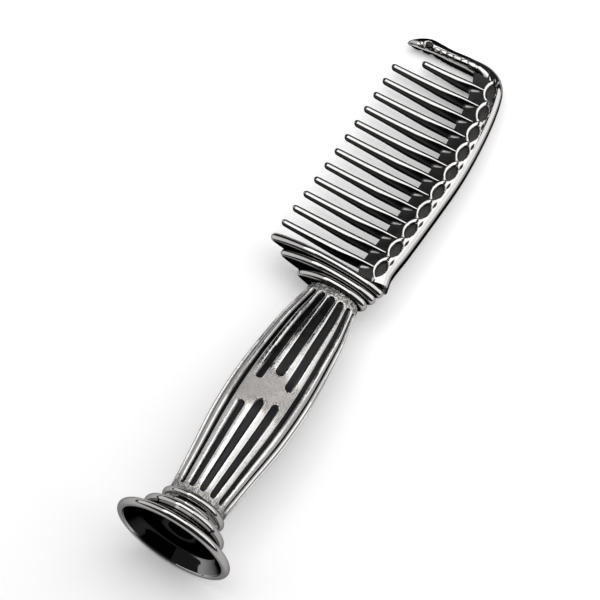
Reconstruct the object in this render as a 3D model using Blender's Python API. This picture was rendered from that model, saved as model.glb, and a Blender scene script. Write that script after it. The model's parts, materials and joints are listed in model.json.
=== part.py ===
# Column-handled comb: a cast head clamped to a fluted handle and a hollow bell foot by one rod.
# The comb is built along its own axis, X from the foot's rim to the head, +Y to the tooth tips,
# and then laid on its side, so that it rests on the foot's lip and on the head's far end.
import math

import bmesh
import bpy
from mathutils import Vector

# Clearance between seated pieces, and how far a cutter runs past what it cuts
SEAT_GAP = 0.0003
CUT_OVERRUN = 0.001

# Rod, washer and nut that clamp the stack
ROD_RADIUS = 0.0015
ROD_SOCKET_DEPTH = 0.0080
ROD_END_PROUD = 0.0008
WASHER_RADIUS = 0.0036
WASHER_THICKNESS = 0.0007
NUT_ACROSS_FLATS = 0.0055
NUT_THICKNESS = 0.0024
NUT_SIDES = 6

# Bell foot
FOOT_RADIUS = 0.0186
FOOT_HEIGHT = 0.0051
FOOT_LIP_RADIUS = 0.0010
FOOT_LIP_SWEEP = math.radians(150)
FOOT_FACE_WIDTH = 0.0013
FOOT_POCKET_CLEARANCE = 0.0020
FOOT_POCKET_DEPTH = 0.0034
FOOT_FLOOR = 0.0024
FOOT_STEM_WALL = 0.0014
FOOT_SPIGOT_STEP = 0.0026
FOOT_SHOULDER_WIDTH = 0.0026
FOOT_BOSS_LENGTH = 0.0020

# Mouldings between the foot and the handle
LOWER_RING_WALL = 0.00195
LOWER_RING_THICKNESS = 0.0027
COLLAR_WALL = 0.0017
UPPER_BEAD_THICKNESS = 0.0024
SCOTIA_HEIGHT = 0.0022
SCOTIA_DEPTH = 0.0006

# Fluted handle
HANDLE_LENGTH = 0.0782
HANDLE_HALF_WIDTH = 0.0126
HANDLE_HALF_DEPTH = 0.0106
HANDLE_BORE_RADIUS = 0.0055
NECK_BORE_LENGTH = 0.0130
FLUTE_COUNT = 16
FLUTE_DEPTH = 0.0009
FLUTE_SHARPNESS = 4
FLUTE_TURN = math.radians(-5)
FLUTE_FOOT_MARGIN = 0.0016
FLUTE_NECK_MARGIN = 0.0036
FLUTE_RUNOUT = 0.0022

# Stepped capital: reach of each plate to the spine side and the tooth side, and the flat land that it
# keeps beside the tang before its edge rounds off
PLATE_THICKNESS = 0.0028
SMALL_PLATE_SPINE_REACH = 0.0100
SMALL_PLATE_TOOTH_REACH = 0.0138
SMALL_PLATE_LAND = 0.0011
MIDDLE_PLATE_SPINE_REACH = 0.0112
MIDDLE_PLATE_TOOTH_REACH = 0.0214
MIDDLE_PLATE_LAND = 0.0007
LARGE_PLATE_SPINE_REACH = 0.0121
LARGE_PLATE_TOOTH_REACH = 0.0267
LARGE_PLATE_LAND = 0.0005

# Comb head
SPINE_BOW = 0.0136
SPINE_WIDTH = 0.0063
SPINE_HALF_DEPTH = 0.0034
WEB_WIDTH = 0.0041
WEB_HALF_DEPTH = 0.0012
TOOTH_COUNT = 13
TOOTH_PITCH = 0.0060
FIRST_TOOTH_OFFSET = 0.0044
LOWEST_TOOTH = 7
TOOTH_REACH = 0.0254
TOOTH_TIP_BOW = 0.0011
SHORT_TOOTH_REACH = 0.0181
TOOTH_ROOT_WIDTH = 0.0026
TOOTH_ROOT_BITE = 0.0004
TOOTH_TIP_WIDTH = 0.0018
TOOTH_ROOT_HALF_DEPTH = 0.0029
TOOTH_TIP_HALF_DEPTH = 0.0012
GUARD_SPACING = 0.0071
GUARD_WIDTH = 0.0036
GUARD_HALF_DEPTH = 0.0032
GUARD_REACH = 0.0258
CORNER_RISE = 0.0016
TANG_WALL = 0.0007
TANG_LENGTH = 0.0110

# Chain of lens-shaped cells along the spine, and the guard's eye
LENS_COUNT = 10
LENS_HALF_WIDTH = 0.0015
LENS_GAP = 0.0018
LENS_MARGIN = 0.0010
POCKET_DEPTH = 0.0010
EYE_HALF_WIDTH = 0.0009
EYE_HALF_LENGTH = 0.0012
EYE_OFFSET = 0.0009
INLAY_BEVEL = 0.0002

# How finely round shapes are divided
TURN_STEPS = 36
BORE_STEPS = 24
BEAD_STEPS = 6
SCOTIA_STEPS = 4
PLATE_STEPS = 28
POINTS_PER_FLUTE = 5
SPINE_STEPS = 22
CORNER_STEPS = 6
SWEEP_STEPS = 16
WEB_STEPS = 16
TOOTH_STEPS = 10
LENS_ARC_STEPS = 6
CREASE_ANGLE = math.radians(35)

# How square the boat-shaped plates, the spine, the guard and the teeth are: 2 is an ellipse
PLATE_SQUARENESS = 2.1
SPINE_SQUARENESS = 3.4
GUARD_SQUARENESS = 2.4
TOOTH_SQUARENESS = 1.8

# Flare of the bell foot from its lip to its shoulder, and of its mouth from the rim to the pocket, as
# shares of the height and of the change of radius
foot_flare_shares = [(0.3, 0.454), (0.65, 0.853)]
foot_mouth_shares = [(0.19, 0.125), (0.33, 0.24), (0.46, 0.40), (0.57, 0.60), (0.70, 0.78), (0.85, 0.91)]

# Half-width and half-depth of the handle along its length, as shares of its largest ones
handle_width_shares = [(0.0, 0.713), (0.18, 0.84), (0.345, 0.963), (0.50, 1.0), (0.635, 0.967), (0.82, 0.86),
                       (0.90, 0.77), (1.0, 0.648)]
handle_depth_shares = [(0.0, 0.81), (0.18, 0.887), (0.345, 0.972), (0.50, 1.0), (0.70, 0.90), (0.85, 0.71),
                       (1.0, 0.44)]

# Where the rows of points stand along the handle
handle_row_shares = [0.0, 0.015, 0.035, 0.06, 0.12, 0.20, 0.29, 0.36, 0.40, 0.42, 0.44, 0.46, 0.48, 0.50,
                     0.52, 0.54, 0.57, 0.65, 0.74, 0.82, 0.88, 0.92, 0.945, 0.965, 1.0]

# Bare band on the handle: where the three front flutes stop and start again, by flute number
bare_band_shares = {1: (0.398, 0.504), 0: (0.436, 0.549), -1: (0.449, 0.514)}

# Outer edge of the spine along the head, as shares of its bow
spine_bow_shares = [(0.0, 0.93), (0.055, 0.865), (0.17, 0.915), (0.37, 0.975), (0.53, 1.0), (0.69, 0.94),
                    (0.82, 0.835), (0.91, 0.70), (1.0, 0.46)]

# Guard: half-width, half-depth and sideways lean along its reach, as shares of its own sizes
guard_shape_shares = [(0.10, 1.10, 1.0, 0.03), (0.25, 1.0, 1.0, 0.0), (0.45, 0.96, 0.92, -0.09),
                      (0.62, 1.06, 0.80, -0.06), (0.74, 1.18, 0.70, -0.09), (0.84, 1.0, 0.60, -0.31),
                      (0.92, 0.68, 0.46, -0.54), (0.98, 0.32, 0.26, -0.78)]
eye_reach_share = 0.735
eye_height_share = 0.86

# How a tooth swells from its point at the chain to the web's edge, how it thins to its tip and how the
# tip rounds off: place along the stretch, and width as a share of the root's or the tip's
tooth_point_shares = [(0.0, 0.10), (0.35, 0.45), (0.75, 0.85), (1.0, 1.0)]
tooth_taper_shares = [0.35, 0.7, 1.0]
tooth_tip_shares = [(0.45, 0.86), (0.8, 0.5), (1.0, 0.15)]

# Radii of the foot's stem and mouldings, and of the tang, from the inside out
rod_hole_radius = ROD_RADIUS + SEAT_GAP
tang_radius = rod_hole_radius + TANG_WALL
tang_hole_radius = tang_radius + SEAT_GAP
foot_pocket_radius = WASHER_RADIUS + FOOT_POCKET_CLEARANCE
foot_boss_radius = HANDLE_BORE_RADIUS - SEAT_GAP
foot_stem_radius = foot_pocket_radius + FOOT_STEM_WALL
foot_spigot_radius = foot_stem_radius + FOOT_SPIGOT_STEP
foot_shoulder_radius = foot_spigot_radius + FOOT_SHOULDER_WIDTH
lower_ring_bore = foot_spigot_radius + SEAT_GAP
lower_ring_radius = lower_ring_bore + LOWER_RING_WALL + LOWER_RING_THICKNESS / 2
collar_bore = foot_stem_radius + SEAT_GAP
collar_radius = collar_bore + COLLAR_WALL

# Stations along X, from the foot's rim to the head's far end
lower_ring_start = FOOT_HEIGHT + SEAT_GAP
lower_ring_end = lower_ring_start + LOWER_RING_THICKNESS
collar_start = lower_ring_end + SEAT_GAP
collar_end = collar_start + SCOTIA_HEIGHT + UPPER_BEAD_THICKNESS
handle_start = collar_end + SEAT_GAP
handle_end = handle_start + HANDLE_LENGTH
small_plate_start = handle_end + SEAT_GAP
middle_plate_start = small_plate_start + PLATE_THICKNESS + SEAT_GAP
large_plate_start = middle_plate_start + PLATE_THICKNESS + SEAT_GAP
head_start = large_plate_start + PLATE_THICKNESS
first_tooth_x = head_start + FIRST_TOOTH_OFFSET
last_tooth_x = first_tooth_x + (TOOTH_COUNT - 1) * TOOTH_PITCH
guard_x = last_tooth_x + GUARD_SPACING
head_reach = guard_x + GUARD_WIDTH / 2 - head_start
pocket_floor = collar_end - FOOT_FLOOR
washer_face = pocket_floor - SEAT_GAP - WASHER_THICKNESS
nut_end = washer_face - SEAT_GAP
nut_start = nut_end - NUT_THICKNESS
tang_end = large_plate_start - TANG_LENGTH
lens_pitch = (TOOTH_COUNT - 1) * TOOTH_PITCH / (LENS_COUNT - 1)


def clear_scene():
    for scene_object in list(bpy.data.objects):
        bpy.data.objects.remove(scene_object, do_unlink=True)


def metal(name, colour, roughness):
    material = bpy.data.materials.new(name)
    material.use_nodes = True
    shader = material.node_tree.nodes["Principled BSDF"]
    shader.inputs["Base Color"].default_value = (*colour, 1.0)
    shader.inputs["Roughness"].default_value = roughness
    shader.inputs["Metallic"].default_value = 1.0
    return material


def polished_gunmetal():
    return metal("polished_gunmetal", (0.30, 0.29, 0.30), 0.10)


def bright_steel():
    return metal("bright_steel", (0.56, 0.56, 0.57), 0.25)


def dark_inlay():
    material = metal("dark_inlay", (0.035, 0.034, 0.036), 0.18)
    material.node_tree.nodes["Principled BSDF"].inputs["Metallic"].default_value = 0.0
    return material


def smooth_value(table, place):
    # Cubic through the table's points, with slopes taken from their neighbours
    places = [row[0] for row in table]
    values = [row[1] for row in table]
    if place <= places[0]:
        return values[0]
    if place >= places[-1]:
        return values[-1]
    index = max(i for i in range(len(places) - 1) if places[i] <= place)
    slopes = []
    for i in (index, index + 1):
        low, high = max(i - 1, 0), min(i + 1, len(places) - 1)
        slopes.append((values[high] - values[low]) / (places[high] - places[low]))
    step = places[index + 1] - places[index]
    t = (place - places[index]) / step
    start_part = (1 + 2 * t) * (1 - t) ** 2 * values[index] + t * (1 - t) ** 2 * step * slopes[0]
    end_part = t * t * (3 - 2 * t) * values[index + 1] - t * t * (1 - t) * step * slopes[1]
    return start_part + end_part


def add_object(name, mesh_builder, material):
    bmesh.ops.recalc_face_normals(mesh_builder, faces=mesh_builder.faces)
    mesh = bpy.data.meshes.new(name)
    mesh_builder.to_mesh(mesh)
    mesh_builder.free()
    piece = bpy.data.objects.new(name, mesh)
    bpy.context.collection.objects.link(piece)
    piece.parent = comb_frame
    if material:
        mesh.materials.append(material)
    return piece


def loft_into(mesh_builder, rings, closed=False):
    # Skin a row of equal rings; a closed row joins its last ring to its first, an open one is capped
    rows = [[mesh_builder.verts.new(point) for point in ring] for ring in rings]
    pairs = list(zip(rows, rows[1:]))
    if closed:
        pairs.append((rows[-1], rows[0]))
    for low, high in pairs:
        for i in range(len(low)):
            j = (i + 1) % len(low)
            mesh_builder.faces.new((low[i], low[j], high[j], high[i]))
    if not closed:
        mesh_builder.faces.new(list(reversed(rows[0])))
        mesh_builder.faces.new(rows[-1])


def loft(name, rings, material, closed=False):
    mesh_builder = bmesh.new()
    loft_into(mesh_builder, rings, closed)
    return add_object(name, mesh_builder, material)


def circle_ring(x, radius, steps):
    turns = [math.tau * i / steps for i in range(steps)]
    return [Vector((x, radius * math.sin(turn), radius * math.cos(turn))) for turn in turns]


def turned(name, profile, material, steps=TURN_STEPS):
    # Ring-shaped solid from a closed profile of (x, radius) points
    return loft(name, [circle_ring(x, radius, steps) for x, radius in profile], material, closed=True)


def bar(name, start, end, radius, material, steps=BORE_STEPS):
    return loft(name, [circle_ring(start, radius, steps), circle_ring(end, radius, steps)], material)


def as_cutter(piece):
    piece.hide_render = True
    piece.display_type = "WIRE"
    return piece


def combine(piece, tool, operation):
    modifier = piece.modifiers.new(operation.lower() + "_" + tool.name, "BOOLEAN")
    modifier.operation = operation
    modifier.solver = "EXACT"
    modifier.object = as_cutter(tool)


def smooth_shading(piece):
    piece.data.shade_smooth()
    piece.data.set_sharp_from_angle(angle=CREASE_ANGLE)


def half_round(start, thickness, outer_radius):
    # Points of a half-round bead, from its low side over its crest to its high side
    half = thickness / 2
    points = []
    for i in range(BEAD_STEPS + 1):
        turn = math.pi * i / BEAD_STEPS
        points.append((start + half - half * math.cos(turn), outer_radius - half + half * math.sin(turn)))
    return points


def bell_foot(material):
    lip_centre = FOOT_RADIUS - FOOT_LIP_RADIUS
    mouth_radius = lip_centre - FOOT_FACE_WIDTH
    pocket_mouth = pocket_floor - FOOT_POCKET_DEPTH
    boss_end = collar_end + FOOT_BOSS_LENGTH
    outer = []
    for i in range(BEAD_STEPS):
        turn = FOOT_LIP_SWEEP * i / (BEAD_STEPS - 1)
        x = FOOT_LIP_RADIUS - FOOT_LIP_RADIUS * math.cos(turn)
        outer.append((x, lip_centre + FOOT_LIP_RADIUS * math.sin(turn)))
    lip_x, lip_radius = outer[-1]
    for along, inward in foot_flare_shares:
        radius = lip_radius - inward * (lip_radius - foot_shoulder_radius)
        outer.append((lip_x + along * (FOOT_HEIGHT - lip_x), radius))
    outer += [
        (FOOT_HEIGHT, foot_shoulder_radius),
        (FOOT_HEIGHT, foot_spigot_radius),
        (lower_ring_end, foot_spigot_radius),
        (lower_ring_end, foot_stem_radius),
        (collar_end, foot_stem_radius),
        (collar_end, foot_boss_radius),
        (boss_end, foot_boss_radius),
    ]
    inner = [(0.0, mouth_radius)]
    for along, inward in foot_mouth_shares:
        inner.append((along * pocket_mouth, mouth_radius - inward * (mouth_radius - foot_pocket_radius)))
    inner += [
        (pocket_mouth, foot_pocket_radius),
        (pocket_floor, foot_pocket_radius),
        (pocket_floor, rod_hole_radius),
        (boss_end, rod_hole_radius),
    ]
    foot = turned("bell_foot", outer + list(reversed(inner)), material)
    smooth_shading(foot)
    return foot


def lower_ring(material):
    profile = half_round(lower_ring_start, LOWER_RING_THICKNESS, lower_ring_radius)
    profile += [(lower_ring_end, lower_ring_bore), (lower_ring_start, lower_ring_bore)]
    ring = turned("lower_ring", profile, material)
    smooth_shading(ring)
    return ring


def collar_ring(material):
    # Concave moulding below, half-round bead above
    profile = []
    for i in range(SCOTIA_STEPS):
        share = i / SCOTIA_STEPS
        radius = collar_radius - SCOTIA_DEPTH * math.sin(share * math.pi)
        profile.append((collar_start + share * SCOTIA_HEIGHT, radius))
    bead_start = collar_start + SCOTIA_HEIGHT
    profile += half_round(bead_start, UPPER_BEAD_THICKNESS, collar_radius + UPPER_BEAD_THICKNESS / 2)
    profile += [(collar_end, collar_bore), (collar_start, collar_bore)]
    ring = turned("collar_ring", profile, material)
    smooth_shading(ring)
    return ring


def flute_runout(x, start, end):
    # 0 at the ends of a flute and 1 along its full depth
    room = min(x - start, end - x)
    share = max(0.0, min(1.0, room / FLUTE_RUNOUT))
    return math.sin(share * math.pi / 2)


def flute_share(number, x):
    start = handle_start + FLUTE_FOOT_MARGIN
    end = handle_end - FLUTE_NECK_MARGIN
    signed_number = number if number <= FLUTE_COUNT // 2 else number - FLUTE_COUNT
    if signed_number not in bare_band_shares:
        return flute_runout(x, start, end)
    band_low, band_high = bare_band_shares[signed_number]
    lower_part = flute_runout(x, start, handle_start + band_low * HANDLE_LENGTH)
    upper_part = flute_runout(x, handle_start + band_high * HANDLE_LENGTH, end)
    return max(lower_part, upper_part)


def handle_ring(share):
    x = handle_start + share * HANDLE_LENGTH
    half_width = HANDLE_HALF_WIDTH * smooth_value(handle_width_shares, share)
    half_depth = HANDLE_HALF_DEPTH * smooth_value(handle_depth_shares, share)
    points = []
    for number in range(FLUTE_COUNT):
        for i in range(POINTS_PER_FLUTE):
            within = (i + 0.5) / POINTS_PER_FLUTE - 0.5
            turn = FLUTE_TURN + math.tau * (number + within) / FLUTE_COUNT
            hollow = math.cos(within * math.pi) ** FLUTE_SHARPNESS * flute_share(number, x)
            cut = FLUTE_DEPTH * hollow
            across = (half_width - cut) * math.sin(turn)
            points.append(Vector((x, across, (half_depth - cut) * math.cos(turn))))
    return points


def handle_column(material):
    handle = loft("handle_column", [handle_ring(share) for share in handle_row_shares], material)
    wide_end = handle_end - NECK_BORE_LENGTH
    bore = loft("handle_bore", [
        circle_ring(handle_start - CUT_OVERRUN, HANDLE_BORE_RADIUS, BORE_STEPS),
        circle_ring(wide_end - HANDLE_BORE_RADIUS, HANDLE_BORE_RADIUS, BORE_STEPS),
        circle_ring(wide_end, tang_hole_radius, BORE_STEPS),
        circle_ring(handle_end + CUT_OVERRUN, tang_hole_radius, BORE_STEPS),
    ], None)
    combine(handle, bore, "DIFFERENCE")
    smooth_shading(handle)
    return handle


def superellipse(half_width, half_depth, power, steps):
    points = []
    for i in range(steps):
        turn = math.tau * i / steps
        side, rise = math.cos(turn), math.sin(turn)
        points.append((math.copysign(abs(side) ** (2 / power), side) * half_width,
                       math.copysign(abs(rise) ** (2 / power), rise) * half_depth))
    return points


def plate_rings(start, spine_reach, tooth_reach, land):
    # Boat-shaped outline, thickest in the middle, with a half-round edge all round
    half = PLATE_THICKNESS / 2
    middle_y = (tooth_reach - spine_reach) / 2
    half_width = (tooth_reach + spine_reach) / 2
    half_depth = tang_hole_radius + land + half
    rings = []
    for i in range(BEAD_STEPS + 1):
        turn = math.pi * (i / BEAD_STEPS - 0.5)
        inset = half * (1 - math.cos(turn))
        x = start + half + half * math.sin(turn)
        outline = superellipse(half_width - inset, half_depth - inset, PLATE_SQUARENESS, PLATE_STEPS)
        rings.append([Vector((x, middle_y + across, up)) for across, up in outline])
    return rings


def capital_plate(name, start, spine_reach, tooth_reach, land, material):
    plate = loft(name, plate_rings(start, spine_reach, tooth_reach, land), material)
    end = start + PLATE_THICKNESS
    hole = bar(name + "_hole", start - CUT_OVERRUN, end + CUT_OVERRUN, tang_hole_radius, None)
    combine(plate, hole, "DIFFERENCE")
    smooth_shading(plate)
    return plate


def spine_outer_y(x):
    return -SPINE_BOW * smooth_value(spine_bow_shares, (x - head_start) / head_reach)


def spine_middle(x):
    return Vector((x, spine_outer_y(x) + SPINE_WIDTH / 2))


def web_edge_y(x):
    return spine_outer_y(x) + SPINE_WIDTH + WEB_WIDTH


def head_path():
    # Stations (middle, half-width, half-depth, squareness) along the spine, round the corner, up the guard
    stations = []
    start_x = head_start - SEAT_GAP
    corner_x = guard_x - SPINE_WIDTH
    for i in range(SPINE_STEPS + 1):
        x = start_x + (corner_x - start_x) * i / SPINE_STEPS
        stations.append((spine_middle(x), SPINE_WIDTH / 2, SPINE_HALF_DEPTH, SPINE_SQUARENESS))
    guard_rows = []
    for reach, width, depth, lean in guard_shape_shares:
        middle = Vector((guard_x + lean * GUARD_WIDTH, reach * GUARD_REACH))
        guard_rows.append((middle, width * GUARD_WIDTH / 2, depth * GUARD_HALF_DEPTH, GUARD_SQUARENESS))
    spine_end, *spine_shape = stations[-1]
    guard_foot, *guard_shape = guard_rows[0]
    bend = Vector((guard_foot.x, spine_end.y + CORNER_RISE))
    for i in range(1, CORNER_STEPS):
        t = i / CORNER_STEPS
        middle = (1 - t) ** 2 * spine_end + 2 * t * (1 - t) * bend + t * t * guard_foot
        shape = [(1 - t) * before + t * after for before, after in zip(spine_shape, guard_shape)]
        stations.append((middle, *shape))
    return stations + guard_rows


def head_sweep(material):
    stations = head_path()
    rings = []
    for i, (middle, half_width, half_depth, squareness) in enumerate(stations):
        before = stations[max(i - 1, 0)][0]
        after = stations[min(i + 1, len(stations) - 1)][0]
        along = (after - before).normalized()
        side = Vector((-along.y, along.x))
        ring = []
        for across, up in superellipse(half_width, half_depth, squareness, SWEEP_STEPS):
            spot = middle + side * across
            ring.append(Vector((spot.x, spot.y, up)))
        rings.append(ring)
    return loft("comb_head", rings, material)


def web_plate():
    # Thin web between the tooth roots, from the middle of the spine to its bowed edge
    start = head_start - PLATE_THICKNESS / 2
    edge = []
    back = []
    for i in range(WEB_STEPS + 1):
        x = start + (guard_x - start) * i / WEB_STEPS
        edge.append((x, web_edge_y(max(x, head_start))))
        back.append((x, spine_middle(max(x, head_start)).y))
    outline = edge + list(reversed(back))
    rings = [[Vector((x, y, z)) for x, y in outline] for z in (-WEB_HALF_DEPTH, WEB_HALF_DEPTH)]
    return loft("head_web", rings, None)


def tooth_tip_y(number):
    if number == TOOTH_COUNT - 1:
        return SHORT_TOOTH_REACH
    return TOOTH_REACH + TOOTH_TIP_BOW * ((number - LOWEST_TOOTH) / LOWEST_TOOTH) ** 2


def tooth_rings(number):
    # Rows of (y, width, half-depth): the point at the chain, the taper and the round tip
    x = first_tooth_x + number * TOOTH_PITCH
    point_y = spine_outer_y(x) + SPINE_WIDTH - TOOTH_ROOT_BITE
    web_y = web_edge_y(x)
    tip_y = tooth_tip_y(number)
    taper_end = tip_y - TOOTH_TIP_WIDTH
    rows = []
    for place, width in tooth_point_shares:
        rows.append((point_y + place * (web_y - point_y), width * TOOTH_ROOT_WIDTH, TOOTH_ROOT_HALF_DEPTH))
    for share in tooth_taper_shares:
        width = TOOTH_ROOT_WIDTH + share * (TOOTH_TIP_WIDTH - TOOTH_ROOT_WIDTH)
        half_depth = TOOTH_ROOT_HALF_DEPTH + share * (TOOTH_TIP_HALF_DEPTH - TOOTH_ROOT_HALF_DEPTH)
        rows.append((web_y + share * (taper_end - web_y), width, half_depth))
    for place, width in tooth_tip_shares:
        y = taper_end + place * TOOTH_TIP_WIDTH
        rows.append((y, width * TOOTH_TIP_WIDTH, width * TOOTH_TIP_HALF_DEPTH))
    rings = []
    for y, width, half_depth in rows:
        outline = superellipse(width / 2, half_depth, TOOTH_SQUARENESS, TOOTH_STEPS)
        rings.append([Vector((x + across, y, up)) for across, up in outline])
    return rings


def comb_teeth():
    mesh_builder = bmesh.new()
    for number in range(TOOTH_COUNT):
        loft_into(mesh_builder, tooth_rings(number))
    return add_object("teeth_to_join", mesh_builder, None)


def lens_outline(half_length, half_width, inset):
    # Two arcs that meet in points, drawn in by an even inset
    arc_radius = (half_length ** 2 + half_width ** 2) / (2 * half_width)
    centre = arc_radius - half_width
    radius = arc_radius - inset
    reach = math.acos(centre / radius)
    points = []
    for side in (1, -1):
        for i in range(LENS_ARC_STEPS):
            turn = reach * (1 - 2 * i / LENS_ARC_STEPS)
            points.append((side * radius * math.sin(turn), side * (radius * math.cos(turn) - centre)))
    return points


def lens_place(number):
    # Middle and direction of one cell of the chain
    x = first_tooth_x + number * lens_pitch
    step = TOOTH_PITCH / 2
    along = (spine_middle(x + step) - spine_middle(x - step)).normalized()
    return Vector((x, spine_outer_y(x) + SPINE_WIDTH - LENS_MARGIN - LENS_HALF_WIDTH)), along


def eye_place():
    lean_shares = [(reach, lean) for reach, width, depth, lean in guard_shape_shares]
    lean = smooth_value(lean_shares, eye_reach_share)
    middle = Vector((guard_x + lean * GUARD_WIDTH - EYE_OFFSET, eye_reach_share * GUARD_REACH))
    return middle, Vector((0.0, 1.0))


def placed_rings(outlines, place, face):
    middle, along = place
    side = Vector((-along.y, along.x))
    rings = []
    for outline, z in outlines:
        ring = []
        for length, width in outline:
            spot = middle + along * length + side * width
            ring.append(Vector((spot.x, spot.y, face * z)))
        rings.append(ring)
    return rings


def cell_shape(is_eye, inset):
    if is_eye:
        return lens_outline(EYE_HALF_LENGTH, EYE_HALF_WIDTH, inset)
    return lens_outline((lens_pitch - LENS_GAP) / 2, LENS_HALF_WIDTH, inset)


def all_cells():
    cells = [(lens_place(number), SPINE_HALF_DEPTH, False) for number in range(LENS_COUNT)]
    cells.append((eye_place(), GUARD_HALF_DEPTH * eye_height_share, True))
    return cells


def cell_cutters():
    mesh_builder = bmesh.new()
    for place, top, is_eye in all_cells():
        outline = cell_shape(is_eye, 0.0)
        for face in (1, -1):
            levels = [(outline, top - POCKET_DEPTH), (outline, top + CUT_OVERRUN)]
            loft_into(mesh_builder, placed_rings(levels, place, face))
    return add_object("cells_to_cut", mesh_builder, None)


def inlay(name, place, top, is_eye, face, material):
    floor = top - POCKET_DEPTH + SEAT_GAP
    crest = top - SEAT_GAP / 2
    wide = cell_shape(is_eye, SEAT_GAP)
    narrow = cell_shape(is_eye, SEAT_GAP + INLAY_BEVEL)
    levels = [(wide, floor), (wide, crest - INLAY_BEVEL), (narrow, crest)]
    return loft(name, placed_rings(levels, place, face), material)


def all_inlays(material):
    for face, face_name in ((1, "front"), (-1, "back")):
        for number, (place, top, is_eye) in enumerate(all_cells()):
            name = f"eye_inlay_{face_name}" if is_eye else f"chain_inlay_{face_name}_{number + 1:02d}"
            inlay(name, place, top, is_eye, face, material)


def comb_head(material):
    head = head_sweep(material)
    reaches = (LARGE_PLATE_SPINE_REACH, LARGE_PLATE_TOOTH_REACH)
    flange_rings = plate_rings(large_plate_start, *reaches, LARGE_PLATE_LAND)
    flange = loft("head_flange", flange_rings, None)
    tang = bar("head_tang", tang_end, large_plate_start + PLATE_THICKNESS / 2, tang_radius, None)
    socket = bar("rod_socket", tang_end - CUT_OVERRUN, tang_end + ROD_SOCKET_DEPTH, rod_hole_radius, None)
    for tool in (web_plate(), comb_teeth(), flange, tang):
        combine(head, tool, "UNION")
    combine(head, cell_cutters(), "DIFFERENCE")
    combine(head, socket, "DIFFERENCE")
    smooth_shading(head)
    return head


def tie_rod(material):
    end = tang_end + ROD_SOCKET_DEPTH - SEAT_GAP
    return bar("tie_rod", nut_start - ROD_END_PROUD, end, ROD_RADIUS, material)


def clamp_washer(material):
    high = washer_face + WASHER_THICKNESS
    profile = [(washer_face, rod_hole_radius), (washer_face, WASHER_RADIUS)]
    profile += [(high, WASHER_RADIUS), (high, rod_hole_radius)]
    return turned("clamp_washer", profile, material, BORE_STEPS)


def clamp_nut(material):
    corner_radius = NUT_ACROSS_FLATS / 2 / math.cos(math.pi / NUT_SIDES)
    ends = [circle_ring(x, corner_radius, NUT_SIDES) for x in (nut_start, nut_end)]
    nut = loft("clamp_nut", ends, material)
    hole = bar("nut_hole", nut_start - CUT_OVERRUN, nut_end + CUT_OVERRUN, rod_hole_radius, None)
    combine(nut, hole, "DIFFERENCE")
    return nut


def lay_down(pieces):
    # Tip the axis until the foot's lip and the guard's underside both reach the ground, then set the
    # origin at the bottom middle of the box round the comb
    lip_centre = Vector((FOOT_LIP_RADIUS, -(FOOT_RADIUS - FOOT_LIP_RADIUS)))
    guard_foot = Vector((guard_x, -GUARD_HALF_DEPTH))
    span = guard_foot - lip_centre
    slope = math.atan2(span.y, span.x) + math.asin(FOOT_LIP_RADIUS / span.length)
    comb_frame.rotation_euler = (0.0, slope, 0.0)
    bpy.context.view_layer.update()
    corners = [piece.matrix_world @ vertex.co for piece in pieces for vertex in piece.data.vertices]
    lows = [min(corner[axis] for corner in corners) for axis in range(3)]
    highs = [max(corner[axis] for corner in corners) for axis in range(3)]
    comb_frame.location = (-(lows[0] + highs[0]) / 2, -(lows[1] + highs[1]) / 2, -lows[2])


clear_scene()
comb_frame = bpy.data.objects.new("comb_frame", None)
bpy.context.collection.objects.link(comb_frame)

gunmetal = polished_gunmetal()
steel = bright_steel()
inlay_black = dark_inlay()

bell_foot(gunmetal)
lower_ring(gunmetal)
collar_ring(gunmetal)
handle_column(gunmetal)
capital_plate("capital_plate_small", small_plate_start, SMALL_PLATE_SPINE_REACH, SMALL_PLATE_TOOTH_REACH,
              SMALL_PLATE_LAND, gunmetal)
capital_plate("capital_plate_middle", middle_plate_start, MIDDLE_PLATE_SPINE_REACH, MIDDLE_PLATE_TOOTH_REACH,
              MIDDLE_PLATE_LAND, gunmetal)
comb_head(gunmetal)
all_inlays(inlay_black)
tie_rod(steel)
clamp_washer(steel)
clamp_nut(steel)
lay_down([piece for piece in bpy.data.objects if piece.type == "MESH" and not piece.hide_render])
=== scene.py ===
import json
import math

import bpy
from mathutils import Matrix, Vector, noise


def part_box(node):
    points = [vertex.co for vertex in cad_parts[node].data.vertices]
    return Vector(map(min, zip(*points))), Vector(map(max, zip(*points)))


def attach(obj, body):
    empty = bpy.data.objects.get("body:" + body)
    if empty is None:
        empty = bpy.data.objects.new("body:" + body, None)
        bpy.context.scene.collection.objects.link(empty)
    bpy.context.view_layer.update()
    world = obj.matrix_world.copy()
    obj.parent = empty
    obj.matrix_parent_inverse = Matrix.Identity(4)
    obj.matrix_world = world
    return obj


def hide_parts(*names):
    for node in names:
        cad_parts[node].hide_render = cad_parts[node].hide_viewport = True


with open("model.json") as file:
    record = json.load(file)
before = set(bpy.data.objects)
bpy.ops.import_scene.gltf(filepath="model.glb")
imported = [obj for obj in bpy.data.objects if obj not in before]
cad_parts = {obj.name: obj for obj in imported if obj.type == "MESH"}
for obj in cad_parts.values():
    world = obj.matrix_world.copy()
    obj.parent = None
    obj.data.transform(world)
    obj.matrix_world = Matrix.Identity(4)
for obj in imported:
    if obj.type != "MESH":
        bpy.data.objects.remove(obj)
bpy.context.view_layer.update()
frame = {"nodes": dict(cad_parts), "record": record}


# How the comb lies
# It rests on its side, on the foot's lip and the guard, so its own axis is tipped a little.
# Pieces are shaped along that axis, X from the foot's rim and +Y to the tooth tips, and then laid down.
rim = frame["record"]["mounts"][0]
comb_axis = -Vector(rim["axis"]).normalized()
across_axis = Vector((0.0, 1.0, 0.0))
rod_low, rod_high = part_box("tie_rod")
rod_middle = (rod_low + rod_high) / 2
rim_middle = rod_middle - comb_axis * (rod_middle - Vector(rim["pos_m"])).dot(comb_axis)
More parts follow.
